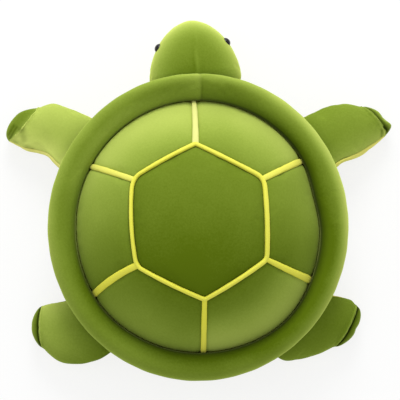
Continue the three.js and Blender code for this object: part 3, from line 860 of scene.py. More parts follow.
# %% Spoke tapes
# A spoke starts under the hexagon's tape and dives into the groove.
SPOKE_START = -0.05
SPOKE_SPAN = 1.085
SPOKE_DIVE = 5.0
# The widths at the two ends of each spoke, in mm.
spoke_widths = [
    (10.0, 7.6), (8.6, 9.2), (10.2, 11.2), (7.8, 8.8), (7.6, 11.6), (9.0, 10.2),
]
# Painted light on each spoke: paler the nearer it lies to the lamp at the head.
spoke_painted_light = [0.7, 0.3, 0.05, 0.0, 0.05, 0.2]


def make_spoke_tape(index):
    bm = bmesh.new()
    bmesh.ops.create_uvsphere(bm, u_segments=20, v_segments=44, radius=1)
    ball = points_of(bm)
    row = np.arccos(np.clip(ball[:, 2], -1, 1)) / math.pi
    section = np.arctan2(ball[:, 1], ball[:, 0])
    t = SPOKE_START + SPOKE_SPAN * row
    place = spoke_line(index, t)
    heading = spoke_line(index, t + 0.01) - spoke_line(index, t - 0.01)
    taper = round_fall(np.abs(2 * row - 1), 9)
    first, last = spoke_widths[index]
    wide = (first + (last - first) * t) / 2
    ripple = 1 + 0.025 * np.sin(11 * t + index) + 0.02 * np.sin(27 * t + 2 * index)
    half = wide * taper * ripple
    rise = TAPE_RISE * (0.35 + 0.65 * taper)
    points = tape_points(place, heading, section, half, rise)
    points[:, 2] -= SPOKE_DIVE * ease((t - 0.94) / 0.1)
    move_points(bm, pull_groove(points))
    tape = finish_piece(f"spoke_tape_{index + 1}_cover", bm, yellow_tape)
    dress_tape(tape, f"spoke_tape_{index + 1}", spoke_painted_light[index], section)
    return tape


spoke_tapes = [make_spoke_tape(index) for index in range(6)]
print("spoke tapes:", len(spoke_tapes))

# %% [markdown]
# The closed strip is a section spun once round and then laid along the
# hexagon. Its front and rear corners stay pointed, the four at the sides are
# eased, as a tape that is bent round a corner does.

# %% Hexagon tape
TAPE_AROUND = 420
TAPE_EXTRA_RISE = 0.7
HEXAGON_TAPE_NAP = 0.08
side_widths = [6.0, 5.3, 6.2, 6.6, 7.2, 6.2]


def spun_ring(section_steps, around_steps):
    """A ring of quads, with each point's section angle and way round."""
    bm = bmesh.new()
    circle = bmesh.ops.create_circle(bm, segments=section_steps, radius=0.2)["verts"]
    upright = Matrix.Rotation(math.pi / 2, 3, "X")
    bmesh.ops.rotate(bm, verts=circle, cent=(0, 0, 0), matrix=upright)
    bmesh.ops.translate(bm, verts=circle, vec=(1, 0, 0))
    bmesh.ops.spin(
        bm,
        geom=bm.verts[:] + bm.edges[:],
        cent=(0, 0, 0),
        axis=(0, 0, 1),
        angle=2 * math.pi,
        steps=around_steps,
        use_merge=True,
    )
    ring = points_of(bm)
    section = np.arctan2(ring[:, 2], np.hypot(ring[:, 0], ring[:, 1]) - 1)
    around = np.arctan2(ring[:, 1], ring[:, 0])
    return bm, section, around


def make_hexagon_tape():
    bm, section, around = spun_ring(16, TAPE_AROUND)
    index = np.round(around / (2 * math.pi) * TAPE_AROUND).astype(int) % TAPE_AROUND
    path = hexagon_outline(np.arange(TAPE_AROUND) / TAPE_AROUND)
    heading = np.roll(path, -1, axis=0) - np.roll(path, 1, axis=0)
    ripple = 1 + 0.03 * np.sin(13 * around) + 0.02 * np.sin(31 * around)
    side_middles = (np.arange(6) + 0.5) / 6
    width = np.interp(index / TAPE_AROUND, side_middles, side_widths, period=1)
    half = width / 2 * ripple
    rise = TAPE_RISE + TAPE_EXTRA_RISE
    move_points(bm, tape_points(path[index], heading[index], section, half, rise))
    tape = finish_piece("hexagon_tape_cover", bm, yellow_tape)
    dress_tape(tape, "hexagon_tape", HEXAGON_TAPE_NAP, section)
    return tape


hexagon_tape = make_hexagon_tape()
print("hexagon tape:", len(hexagon_tape.data.vertices), "points")

# %% [markdown]
# ## Pressing seams in
# After the simulation a seam still needs its own marks: a valley where the
# thread pulls the cloth in, a ridge where the two edges are turned inside, and
# small tucks. They are pushes along the surface's own normals.

# %% Helpers for seams
def press(obj, amounts_mm):
    """Moves each point along its normal, outwards for a positive amount."""
    amounts = np.asarray(amounts_mm)[:, None] * MM
    set_mesh_points(obj, mesh_points(obj) + point_normals(obj) * amounts)


def face_values(obj, values):
    """The mean of the points' values on each face."""
    return np.array([values[list(p.vertices)].mean(axis=0) for p in obj.data.polygons])


def cut_out(obj, name, chosen, material):
    """A new object from the chosen faces of a whole form."""
    bm = bmesh.new()
    bm.from_mesh(obj.data)
    bm.faces.ensure_lookup_table()
    others = [face for face, keep in zip(bm.faces, chosen) if not keep]
    bmesh.ops.delete(bm, geom=others, context="FACES")
    mesh = bpy.data.meshes.new(name)
    bm.to_mesh(mesh)
    bm.free()
    mesh.materials.clear()
    mesh.materials.append(material)
    piece = bpy.data.objects.new(name, mesh)
    bpy.context.scene.collection.objects.link(piece)
    return piece


def discard(obj):
    """Removes a whole form once its covers are cut out of it."""
    bpy.data.objects.remove(obj)


# %% [markdown]
# ## Rim
# A stuffed roll runs right round the shell. It is sewn from an upper and a
# lower cover whose seam stands as a ridge along the outermost edge, with a
# thin painted highlight on it, and its two ends meet in one join at the front.
# It lifts where it lies over the head. A circle spun round the shell gives it
# quads that follow the roll, and the simulation fills it between its outer
# seam and the groove.

# %% Rim
RIM_SEAM_HEIGHT = 88.0
RIM_CREST = 26.0
RIM_SAG = 14.0
RIM_BEND = 2 / 2.2
RIM_INNER = 182.2
RIM_OUTER = 225.0
RIM_MIDDLE = (RIM_INNER + RIM_OUTER) / 2
RIM_HALF = (RIM_OUTER - RIM_INNER) / 2
RIM_LIFT = 24.0
RIM_LIFT_SPREAD = math.radians(48)
RIM_LIFT_POWER = 1.3
RIM_FRONT_DRAW = 3.6
RIM_SHRINK = 0.8
RIM_LAP = 0.3
RIM_CLOTH = 1.2
RIM_CAP = 2.6
RIM_SLACK = 0.005
RIM_AROUND = 420
RIM_SECTION = 56


def signed_power(value, power):
    return np.sign(value) * np.abs(value) ** power


def oval_point(radius, angle, height):
    longer = radius + END_EXTRA * np.minimum(1, radius / GROOVE_RADIUS)
    return np.stack(
        [radius * np.cos(angle), longer * np.sin(angle), height + 0 * angle], -1
    )


def from_front(angle):
    """How far round from the head's side an angle lies, in radians."""
    return (angle + math.pi / 2 + math.pi) % (2 * math.pi) - math.pi


def facing(angle, middle_deg):
    """1 on the side of the rim that faces an angle, 0 a quarter turn off."""
    return np.clip(np.cos(angle - math.radians(middle_deg)), 0, 1) ** 2


def rim_raise(radius, angle):
    turn = np.abs(from_front(angle)) / RIM_LIFT_SPREAD
    near = np.where(turn < 1, (1 + np.cos(math.pi * turn)) / 2, 0)
    outward = np.maximum(0, (radius - RIM_INNER) / (RIM_OUTER - RIM_INNER))
    return RIM_LIFT * near * outward**RIM_LIFT_POWER


def rim_underside(radius, angle):
    fall = round_fall((radius - RIM_MIDDLE) / RIM_HALF, 2.2)
    return RIM_SEAM_HEIGHT - RIM_SAG * fall + rim_raise(radius, angle)


def rim_painted_light(around, across, from_seam, from_join):
    """Painted light on the rim, most at the front and the right."""
    # Painted light by direction round the rim, painted sheen on its outer slope, painted
    # shade down into the groove, a painted highlight on the outer seam and painted light
    # and shade on either side of the join.
    leftward, rearward = np.cos(around), np.sin(around)
    front_right = facing(around, -115)
    base = 0.14 + 0.04 * leftward + 0.04 * front_right - 0.12 * facing(around, 130)
    base += 0.04 * np.maximum(0, rearward)
    base += 0.1 * front_right * np.clip(across + 0.3, 0, 1)
    outer = 0.68 - 0.24 * leftward - 0.45 * np.abs(rearward)
    inner = 0.22 - 0.55 * facing(around, -60)
    nap_and_light = base + outer * np.clip(across, 0, 1) ** 1.4 - inner * np.clip(-across, 0, 1)
    nap_and_light += 0.2 * bell(from_seam / 1.5)
    behind_join = bell(np.maximum(0, from_join) / 22) * (from_join > 0)
    before_join = bell(np.minimum(0, from_join) / 18) * (from_join <= 0)
    return nap_and_light + 0.1 * behind_join - 0.06 * before_join


def make_rim():
    bm, section, around = spun_ring(RIM_SECTION, RIM_AROUND)
    c, s = np.cos(section), np.sin(section)
    half = RIM_HALF + np.where(c > 0, -RIM_SHRINK, RIM_LAP)
    front = bell(from_front(around) / 0.5)
    half -= RIM_FRONT_DRAW * front * (c > 0)
    radius = RIM_MIDDLE + half * signed_power(c, RIM_BEND)
    tall = np.where(s > 0, RIM_CREST, RIM_SAG) - RIM_CLOTH
    height = RIM_SEAM_HEIGHT + tall * signed_power(s, RIM_BEND)
    height = height + rim_raise(radius, around)
    move_points(bm, pull_groove(oval_point(radius, around, height)))
    rim = finish_piece("rim_cover", bm, green_velour)
    outer_seam = np.abs(section) < 0.02
    groove_side = ease((np.abs(section) - math.radians(125)) / math.radians(30))
    over_head = ease((front - 0.15) / 0.3) * ease((-s - 0.05) / 0.3)
    held = np.maximum(np.maximum(outer_seam, groove_side), over_head)
    stuff(rim, held, RIM_CAP, RIM_SLACK)
    from_seam = np.abs(section) * RIM_HALF
    from_join = (around + math.pi / 2) * RIM_OUTER + 5 - 2 * c
    join = bell(from_join / 2.2) * (s > -0.3)
    arc = around * RIM_OUTER
    tucks = 0.12 * bell(from_seam / 9) * (np.sin(arc / 5.3) + np.sin(arc / 8.7 + 1))
    ridge = 1.5 * bell(from_seam / 1.6) - 1.3 * bell((from_seam - 4.5) / 2.5)
    folds = 0.35 * np.sin(arc / 31) * np.sin(arc / 19 + 2) * np.clip(s, 0, 1)
    press(rim, tucks + ridge + folds - 0.9 * join)
    give_numbers(rim, "nap_and_light", rim_painted_light(around, c, from_seam, from_join))
    # Painted shade in the groove, darkest on the right, where the dome shades it,
    # and none at the front left, where the rim lies on the shell. The join and the
    # rim's right side get painted shade as well.
    right_side = (1 - np.cos(around)) / 2
    groove_shade = 0.6 + 0.4 * right_side
    groove_shade = groove_shade - 0.9 * facing(around, -60) - 0.3 * facing(around, 130)
    groove_shade = np.maximum(0, groove_shade) * ease((-c - 0.83) / 0.13)
    shade_side = 0.5 * right_side * ease((-c - 0.3) / 0.7)
    give_numbers(rim, "seam_shade", np.clip(0.2 * join + groove_shade + shade_side, 0, 1))
    round_facets(rim)
    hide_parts("rim_upper_cover", "rim_lower_cover", "rim_filling")
    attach(rim, "torso")
    return rim


rim_cover = make_rim()
print("rim:", len(rim_cover.data.vertices), "points")

# %% [markdown]
# ## Belly
# The underside is one round panel of yellow velour whose edge curves up to
# the rim. It is hidden in the photo, and flat where the toy rests. The lower
# half of a ball gives it rings that close in the middle.

# %% Belly
BELLY_RADIUS = 187.0
BELLY_FLAT = 144.9
BELLY_CURVE = 62.0
BELLY_FLOOR_GAP = 0.3
BELLY_NEAR_RIM = 66.0


def make_belly():
    bm = bmesh.new()
    bmesh.ops.create_uvsphere(bm, u_segments=120, v_segments=64, radius=1)
    above = [v for v in bm.verts if v.co.z > 1e-4]
    bmesh.ops.delete(bm, geom=above, context="VERTS")
    ball = points_of(bm)
    around = np.arctan2(ball[:, 1], ball[:, 0])
    row = np.arccos(np.clip(-ball[:, 2], -1, 1)) / (math.pi / 2)
    flat_part = np.minimum(1, row / 0.5)
    curve_part = np.clip((row - 0.5) / 0.4, 0, 1) * math.pi / 2
    wall_part = np.clip((row - 0.9) / 0.1, 0, 1)
    radius = BELLY_FLAT * flat_part + (BELLY_RADIUS - BELLY_FLAT) * np.sin(curve_part)
    height = BELLY_CURVE * (1 - np.cos(curve_part))
    top = rim_underside(np.full_like(around, BELLY_RADIUS), around) + 2
    height = height + (top - BELLY_CURVE) * wall_part
    form = oval_point(radius, around, height)
    near_groove = ease((height - BELLY_NEAR_RIM) / 12)[:, None]
    move_points(bm, form + (pull_groove(form) - form) * near_groove)
    belly = finish_piece("belly_cover", bm, yellow_velour)
    arc = around * BELLY_FLAT
    from_flat = (radius - BELLY_FLAT) / 10
    ripple = 0.5 * np.sin(arc / 9) * bell((height - 40) / 22) * (from_flat > 0)
    press(belly, ripple)
    keep_above_floor(belly, BELLY_FLOOR_GAP)
    give_numbers(belly, "nap_and_light", 0.25 + 0.12 * np.sin(around))
    # Painted shade where the belly's wall goes up under the rim.
    give_numbers(belly, "seam_shade", 0.7 * bell((height - top) / 4))
    round_facets(belly)
    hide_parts("belly_panel", "body_filling")
    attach(belly, "torso")
    return belly


belly_cover = make_belly()
print("belly:", len(belly_cover.data.vertices), "points")

# %% [markdown]
# ## Head
# The head is a stuffed egg of two green panels, joined by a faint seam on top,
# with a yellow panel under it. A ball with its poles at the back and at the
# snout takes the head's sections, and each column of it is one line from back
# to snout, so the seams lie on columns.

# %% Head
HEAD_WIDTH = 141.0
HEAD_LENGTH = 124.0
HEAD_WIDEST = 34 / 124
HEAD_TALLEST = 41 / 124
HEAD_MIDDLE = 48.0
HEAD_RISE = 48.0
HEAD_FALL = 45.0
HEAD_SETBACK = 1.3
# The back is flattened, so that it stays off the belly when the neck turns.
HEAD_BACK_DRAW = 2.4
HEAD_CAP = 2.0
HEAD_SLACK = 0.005
HEAD_NAP = 0.09
HEAD_LIGHT_AT_TIP = 0.15
HEAD_SHEEN_AT_SIDES = 1.1
NECK_DEPTH = 28.0
head_place = np.array([3.5, -220.51, 0.0])
head_turn = math.radians(5.2)


def head_share(along, widest, rear, front):
    behind = round_fall(np.maximum(0, widest - along) / widest, rear)
    before = round_fall(np.maximum(0, along - widest) / (1 - widest), front)
    return np.where(along < widest, behind, before)


def turned(points, angle):
    """Points turned about the upright axis."""
    c, s = math.cos(angle), math.sin(angle)
    x, y, z = points[..., 0], points[..., 1], points[..., 2]
    return np.stack([c * x - s * y, s * x + c * y, z], -1)


def head_form(row, section):
    """A place on the head: row runs from back to snout, section round it."""
    along = (1 - np.cos(math.pi * row)) / 2
    c, s = np.cos(section), np.sin(section)
    half = HEAD_WIDTH / 2 * head_share(along, HEAD_WIDEST, 1.9, 1.8)
    tall = np.where(s > 0, HEAD_RISE, HEAD_FALL)
    tall = tall * head_share(along, HEAD_TALLEST, 1.5, 2)
    depth = -HEAD_SETBACK + (HEAD_LENGTH + HEAD_SETBACK) * along
    depth = depth + HEAD_BACK_DRAW * (1 - ease(along / 0.2))
    local = np.stack([half * c, NECK_DEPTH - depth, HEAD_MIDDLE + tall * s], -1)
    return turned(local, head_turn) + head_place


def ball_rows(columns, rows):
    """A ball of quads, with each point's row share and section angle."""
    bm = bmesh.new()
    bmesh.ops.create_uvsphere(bm, u_segments=columns, v_segments=rows, radius=1)
    ball = points_of(bm)
    row = np.arccos(np.clip(ball[:, 2], -1, 1)) / math.pi
    section = np.arctan2(ball[:, 1], ball[:, 0])
    return bm, ball, row, section


def make_head():
    bm, ball, row, section = ball_rows(96, 72)
    move_points(bm, head_form(row, section))
    whole = finish_piece("head_whole", bm, green_velour)
    form = mesh_points(whole) / MM
    side_gap = np.abs(np.sin(section)) * HEAD_WIDTH / 2 * np.sin(math.pi * row)
    on_side_seam = np.abs(np.sin(section)) < 0.02
    under_rim = ease((0.44 - row) / 0.14)
    stuff(whole, np.maximum(on_side_seam, under_rim), HEAD_CAP, HEAD_SLACK)
    # The top seam lies a few millimetres off the middle, and fades forwards.
    forwards = -form[:, 1]
    off_middle = 3.5 + 3.0 * ease((forwards - 215) / 90)
    middle_x = head_place[0] + (head_place[1] + forwards) * math.tan(head_turn)
    from_top = np.where(
        form[:, 2] > HEAD_MIDDLE, form[:, 0] - (middle_x - off_middle), 99
    )
    shown = ease((300 - forwards) / 40)
    ridge = 0.5 * bell(from_top / 1.3) - 0.5 * bell((np.abs(from_top) - 3.2) / 1.8)
    waves = np.sin(forwards / 4.1) + np.sin(forwards / 6.7)
    tucks = -0.15 * bell(side_gap / 8) * waves
    press(whole, ridge * shown - 1.4 * bell(side_gap / 2.5) + tucks)
    # Painted light: paler at the tip, which faces the lamp, painted sheen on the sides, a
    # painted highlight on the top seam, and painted shade in the side seam.
    at_tip = ease((forwards - 280) / 45)
    nap_and_light = HEAD_NAP + HEAD_LIGHT_AT_TIP * at_tip + HEAD_SHEEN_AT_SIDES * steepness(whole)
    nap_and_light += shown * (0.1 * bell(from_top / 1.4) - 0.05 * bell((from_top - 4) / 3))
    give_numbers(whole, "nap_and_light", nap_and_light)
    give_numbers(whole, "seam_shade", 0.4 * bell(side_gap / 2))
    upper = face_values(whole, ball[:, 1]) > 0
    covers = [
        ("head_top_cover", upper, green_velour, "velour_green"),
        ("head_under_cover", ~upper, yellow_velour, "velour_yellow"),
    ]
    made = []
    for name, chosen, material, slot in covers:
        cover = cut_out(whole, name, chosen, material)
        cloth_wall(cover)
        made.append(cover)
    discard(whole)
    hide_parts("head_left_panel", "head_right_panel", "head_filling")
    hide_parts("head_under_panel")
    for cover in made:
        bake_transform(cover)
    return made


head_covers = make_head()
print("head:", [len(cover.data.vertices) for cover in head_covers], "points")

# %% [markdown]
# ## Neck
# A short stuffed sleeve joins the head to the belly's wall under the rim. It
# only shows when the head is turned, so a plain tube with soft ends will do.

# %% Neck sleeve
NECK_RADIUS = 20.0
NECK_BACK = 184.0
NECK_LENGTH = 36.0
NECK_FLATNESS = 1.4


def make_neck():
    bm, _, row, section = ball_rows(32, 20)
    y = -NECK_BACK - NECK_LENGTH * row
    wide = NECK_RADIUS * round_fall(2 * row - 1, 3)
    x = head_place[0] + wide * NECK_FLATNESS * np.cos(section)
    z = HEAD_MIDDLE + wide * np.sin(section)
    move_points(bm, np.stack([x, y, z], -1))
    neck = finish_piece("neck_sleeve", bm, yellow_velour)
    press(neck, 0.6 * np.sin(9 * section) * np.sin(math.pi * row))
    give_numbers(neck, "nap_and_light", np.full(len(y), 0.2))
    give_numbers(neck, "seam_shade", 0.4 * bell((2 * row - 1) / 0.15))
    round_facets(neck)
    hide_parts("neck_filling")
    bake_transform(neck)
    return neck


neck_sleeve = make_neck()
print("neck:", len(neck_sleeve.data.vertices), "points")

# %% [markdown]
# ## Eyes
# Two domed safety eyes, each one moulding with its shank, which goes through
# the cloth and is locked inside by a washer. The dome is a flattened ball and
# the shank a tapered peg. The washers are the frame's own and only get their
# plastic.

# %% Eyes
EYE_RADIUS = 7.0
EYE_RISE = 5.5
EYE_BACK_SHARE = 0.12
EYE_SEATED = 1.0
SHANK_RADIUS = 2.0
SHANK_LENGTH = 14.0
EYE_ALONG = 86 / 124
eye_row = math.acos(1 - 2 * EYE_ALONG) / math.pi
eye_sections = {"eye_left": 14, "eye_right": 166}


def head_frame(row, section):
    """A place on the head and the direction square to it."""
    step = 0.002
    place = head_form(np.array([row]), np.array([section]))[0]
    down = head_form(np.array([row + step]), np.array([section]))[0] - place
    round_way = head_form(np.array([row]), np.array([section + step]))[0] - place
    normal = np.cross(round_way, down)
    normal /= np.linalg.norm(normal)
    sides = head_form(np.array([0.5, 0.5]), np.array([0.0, math.pi]))
    centre = sides.mean(axis=0)
    return place, normal * np.sign(np.dot(normal, place - centre))


def make_eye(name, section_deg):
    place, normal = head_frame(eye_row, math.radians(section_deg))
    bm = bmesh.new()
    dome = bmesh.ops.create_uvsphere(
        bm, u_segments=48, v_segments=32, radius=EYE_RADIUS
    )
    for vert in dome["verts"]:
        vert.co.z *= EYE_RISE / EYE_RADIUS if vert.co.z > 0 else EYE_BACK_SHARE
    shank = bmesh.ops.create_cone(
        bm,
        cap_ends=True,
        segments=24,
        radius1=SHANK_RADIUS * 0.8,
        radius2=SHANK_RADIUS,
        depth=SHANK_LENGTH,
    )
    below_dome = -SHANK_LENGTH / 2 - 0.3
    bmesh.ops.translate(bm, verts=shank["verts"], vec=(0, 0, below_dome))
    spin_to = Vector((0, 0, 1)).rotation_difference(Vector(normal)).to_matrix()
    bmesh.ops.rotate(bm, verts=bm.verts, cent=(0, 0, 0), matrix=spin_to)
    bmesh.ops.translate(bm, verts=bm.verts, vec=Vector(place - EYE_SEATED * normal))
    eye = finish_piece(f"{name}_dome", bm, eye_plastic)
    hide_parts(name)
    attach(eye, "head")
    return eye


eyes = [make_eye(name, section) for name, section in eye_sections.items()]
for washer_name in ("eye_washer_left", "eye_washer_right"):
    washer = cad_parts[washer_name]
    for slot in washer.material_slots:
        slot.material = washer_plastic
print("eyes:", [eye.name for eye in eyes])

# %% [markdown]
# ## Limbs
# Each limb is a stuffed flipper sewn from three cuts: a green top, a yellow
# under panel and a green oval that closes its end. The end seam stands as a
# ridge with a painted highlight, with the crease of the oval beyond it darkened
# by painted shade. A ball with its poles at the root and at the end takes the
# limb's sections. It is stuffed as a whole, with its seams pinned, and then the
# three covers are cut out of it.

# %% Limb tables
# lead and trail are the two edges from root to end seam, each place as shares
# of the reach and of the width. drop and fullness run from root to end: how
# far the limb's middle has sunk and how thick it is. lead_seam and trail_seam
# are how many degrees the yellow panel's seams lie above the edges. end_dip is
# how far the end seam lies back over the top, end_slopes how its corners are
# cut and its tip drawn out, and slit how deep the crease beyond it is and how
# much painted shade it gets.
LIMB_ROOT_HEIGHT = 70.0
LIMB_SETBACK = 0.6
LIMB_ROOT_THICK = 5.2
LIMB_FLOOR_GAP = 1.5
LIMB_BEND = 2 / 2.2
LIMB_COLUMNS = 96
LIMB_ROWS = 84
ROOT_ROWS = 2
SOLE_ROWS = 24
ROW_CLOSENESS = 1.4
SOLE_ARC = 1.35
LIMB_CAP = 2.5
LIMB_SLACK = 0.005
SLIT_PLACE = 3.4
SLIT_DEPTH = 2.6
BODY_ROWS = LIMB_ROWS - ROOT_ROWS - SOLE_ROWS

limbs = {
    "front_left": {
        "angle": -38,
        "side": 1,
        "reach": 120.96,
        "width": 90,
        "thick": 47,
        "bulge": 19,
        "lead": [
            [0, -0.43], [0.2, -0.36], [0.43, -0.305], [0.66, -0.235], [0.86, -0.135],
            [0.97, 0.06],
        ],
        "trail": [
            [0, 0.59], [0.125, 0.65], [0.25, 0.685], [0.375, 0.675], [0.5, 0.655],
            [0.625, 0.705], [0.75, 0.78], [0.875, 0.81], [1.02, 0.835],
        ],
        "drop": [0, 0.3, 0.52, 0.77, 0.92, 1],
        "fullness": [0.1, 0.38, 0.77, 0.98, 1, 0.93],
        "lead_seam": [2, 2, 2, 2, 2, 2],
        "trail_seam": [22, 26, 28, 28, 22, 10],
        "end_dip": 7,
        "end_slopes": (1.05, -0.1, 0),
        "slit": 0.12,
    },
    "front_right": {
        "angle": -142,
        "side": -1,
        "reach": 126,
        "width": 90,
        "thick": 47,
        "bulge": 17.5,
        "lead": [
            [0, -0.435], [0.125, -0.4], [0.25, -0.365], [0.375, -0.335], [0.5, -0.298],
            [0.625, -0.262], [0.75, -0.192], [0.87, -0.083], [0.985, 0.1],
        ],
        "trail": [
            [0, 0.6], [0.125, 0.65], [0.25, 0.672], [0.375, 0.685], [0.5, 0.735],
            [0.625, 0.768], [0.75, 0.77], [0.87, 0.762], [0.985, 0.745],
        ],
        "drop": [0, 0.3, 0.52, 0.77, 0.92, 1],
        "fullness": [0.1, 0.38, 0.77, 0.98, 1, 0.9],
        "lead_seam": [2, 2, 2, 2, 2, 2],
        "trail_seam": [27, 30, 31, 30, 26, 12],
        "end_dip": -4.5,
        "end_slopes": (0.65, 0, 0.72),
        "slit": 0.7,
    },
    "rear_left": {
        "angle": 42,
        "side": 1,
        "reach": 112,
        "width": 118,
        "thick": 46,
        "bulge": 17.2,
        "lead": [
            [0, -0.41], [0.15, -0.43], [0.28, -0.45], [0.4, -0.505], [0.51, -0.57],
            [0.61, -0.612],
        ],
        "trail": [
            [0, 0.43], [0.24, 0.43], [0.49, 0.395], [0.74, 0.27], [0.93, 0.075],
            [0.985, -0.2],
        ],
        "drop": [0, 0.24, 0.47, 0.72, 0.9, 1],
        "fullness": [0.11, 0.36, 0.74, 0.97, 1, 0.92],
        "lead_seam": [12, 6, 2, 0, 0, 0],
        "trail_seam": [2, 0, -2, -2, -2, -2],
        "end_dip": -2.5,
        "end_slopes": (0.4, 0.5, 0),
        "slit": 1.0,
    },
    "rear_right": {
        "angle": 138,
        "side": -1,
        "reach": 92.96,
        "width": 118,
        "thick": 46,
        "bulge": 19.5,
        "lead": [
            [0, -0.46], [0.19, -0.5], [0.35, -0.54], [0.5, -0.6], [0.63, -0.645],
            [0.745, -0.64],
        ],
        "trail": [
            [0, 0.44], [0.23, 0.53], [0.44, 0.515], [0.62, 0.38], [0.81, 0.17],
            [0.935, -0.05],
        ],
        "drop": [0, 0.24, 0.47, 0.72, 0.9, 1],
        "fullness": [0.12, 0.38, 0.75, 0.97, 1, 0.92],
        "lead_seam": [34, 34, 20, 5, 0, 0],
        "trail_seam": [2, 0, -2, -2, -2, -2],
        "end_dip": -4,
        "end_slopes": (-0.2, 0.5, 0),
        "slit": 1.1,
    },
}
print("limb lengths, mm:", {name: limb["reach"] for name, limb in limbs.items()})


# %% A limb's form
def spline(values, share):
    """A smooth curve through evenly spaced values."""
    values = np.asarray(values, float)
    last = len(values) - 1
    place = last * np.clip(share, 0, 1)
    index = np.minimum(place.astype(int), last - 1)
    t = place - index
    p0, p1 = values[np.maximum(index - 1, 0)], values[index]
    p2, p3 = values[index + 1], values[np.minimum(index + 2, last)]
    if values.ndim > 1:
        t = t[:, None]
    start, end = (p2 - p0) / 2, (p3 - p1) / 2
    cubic = (2 * p1 - 2 * p2 + start + end) * t**3
    return cubic + (-3 * p1 + 3 * p2 - 2 * start - end) * t**2 + start * t + p1


def limb_root(limb):
    """Where the limb's own axes start, and how far they are turned."""
    angle = math.radians(limb["angle"])
    place = oval_point(BELLY_RADIUS, np.array(angle), 0.0)
    forwards = math.sin(angle) / (BELLY_RADIUS + END_EXTRA)
    return place, math.atan2(forwards, math.cos(angle) / BELLY_RADIUS)


def limb_form(limb, along, section, shrink, puff):
    """Points of a limb: shrink closes its root, puff rounds its end."""
    size = np.array([limb["reach"] - LIMB_SETBACK, limb["width"]])
    start = np.array([LIMB_SETBACK, 0])
    lead = start + spline(limb["lead"], along) * size
    trail = start + spline(limb["trail"], along) * size
    middle = (lead + trail) / 2
    across = trail - lead
    wide = np.linalg.norm(across, axis=1)
    unit = across / wide[:, None]
    eased_root = np.minimum(1, 0.5 + along * limb["reach"] / LIMB_ROOT_THICK)
    half_thick = spline(limb["fullness"], along) * limb["thick"] / 2 * eased_root
    fall = limb["thick"] * limb["fullness"][-1] / 2 + LIMB_FLOOR_GAP - LIMB_ROOT_HEIGHT
    height = LIMB_ROOT_HEIGHT + fall * spline(limb["drop"], along)
    close = shrink * np.cos(puff)
    c, s = np.cos(section), np.sin(section)
    plan = middle - unit * (wide / 2 * close * signed_power(c, LIMB_BEND))[:, None]
    outward = np.stack([unit[:, 1], -unit[:, 0]], -1)
    lead_slope, trail_slope, tip = limb["end_slopes"]
    to_lead, to_trail = np.maximum(0, c), np.maximum(0, -c)
    cut = lead_slope * to_lead**3 + trail_slope * to_trail**3
    slope = 1 - (1 - np.sin(puff)) ** 0.8 * cut
    slope += tip * bell((np.degrees(puff) - 35) / 24) * to_trail**2
    plan += outward * (limb["bulge"] * np.sin(puff) * np.maximum(0, slope))[:, None]
    z = height + half_thick * close * signed_power(s, LIMB_BEND)
    place, turn = limb_root(limb)
    local = np.stack([plan[:, 0], limb["side"] * plan[:, 1], z], -1)
    return turned(local, turn) + place


def seam_section(limb, ball, share):
    """Section angles that put both side seams on columns of the ball."""
    even = np.arctan2(ball[:, 1], ball[:, 0]) / math.pi
    first = np.radians(spline(limb["lead_seam"], share))
    last = math.pi - np.radians(spline(limb["trail_seam"], share))
    over = first + (last - first) * even
    under = first + (2 * math.pi + first - last) * even
    return np.where(even >= 0, over, under)


def limb_rows(limb, ball, row):
    """Spreads the ball's rows: root, body up to the end seam, and sole.

    The seam's dip moves the last rows of the body back, and past the seam the
    rows go on over the limb's end, closer to each other near the seam.
    """
    index = np.round(row * LIMB_ROWS)
    share = 1 - (1 - np.clip((index - ROOT_ROWS) / BODY_ROWS, 0, 1)) ** ROW_CLOSENESS
    section = seam_section(limb, ball, share)
    reach, dip = limb["reach"], limb["end_dip"] * np.maximum(0, np.sin(section)) ** 1.2
    seam_along = 1 - dip / reach
    round_end = SOLE_ARC * limb["bulge"]
    past_seam = np.clip((index - ROOT_ROWS - BODY_ROWS) / SOLE_ROWS, 0, 1)
    travel = past_seam**ROW_CLOSENESS * (dip + round_end)
    path = seam_along * share * reach + travel
    along = np.minimum(1, path / reach)
    puff = np.clip((path - reach) / round_end, 0, 1) * math.pi / 2
    from_end = np.where(travel > 0, travel, seam_along * (1 - share) * reach)
    shrink = np.clip(index / ROOT_ROWS, 0, 1)
    return index, along, section, shrink, puff, from_end


# %% [markdown]
# The two front limbs have creases of their own near their ends, where the
# sewing gathers the cloth, and painted shade lies in them. Each is a line
# between two pixels of the photo, and seen_at() finds the place on the limb
# that lies there. Six numbers a limb give how pale it is: partly its brushed
# pile and partly painted light, as some limbs face the lamp and others turn
# away.

# %% A limb's folds and pile
FOLD_HEIGHT = 38.0


def near_line(points, start, end):
    """Distance in plan from a line between two pixels of the photo."""
    first, last = seen_at(*start, FOLD_HEIGHT), seen_at(*end, FOLD_HEIGHT)
    span = last - first
    share = np.clip((points[:, :2] - first) @ span / (span @ span), 0, 1)
    return np.linalg.norm(points[:, :2] - first - share[:, None] * span, axis=1)


# A fold runs from one pixel of the photo to another; then its width and depth.
fold_lines = {
    "front_left": [
        ((10, 138), (17, 128), 2.0, 1.1),
        ((8.5, 135), (14, 126), 1.9, 1.0),
        ((13, 141), (17, 143), 2.4, 1.1),
        ((26, 147), (33, 149.5), 2.4, 1.1),
        ((22, 131), (24, 141), 5.0, 0.3),
    ],
    "front_right": [
        ((384, 127), (387.5, 129.5), 1.8, 2.2),
        ((382, 131), (382, 137), 1.8, 1.2),
    ],
}


def limb_folds(name, whole):
    """Presses a limb's own folds in, and returns how deep each point lies."""
    points = mesh_points(whole) / MM
    above = (points[:, 2] > 20) * 1.0
    marks = np.zeros(len(points))
    for start, end, wide, deep in fold_lines.get(name, []):
        mark = bell(near_line(points, start, end) / wide) * above
        press(whole, -deep * mark)
        marks = np.maximum(marks, mark)
    return marks


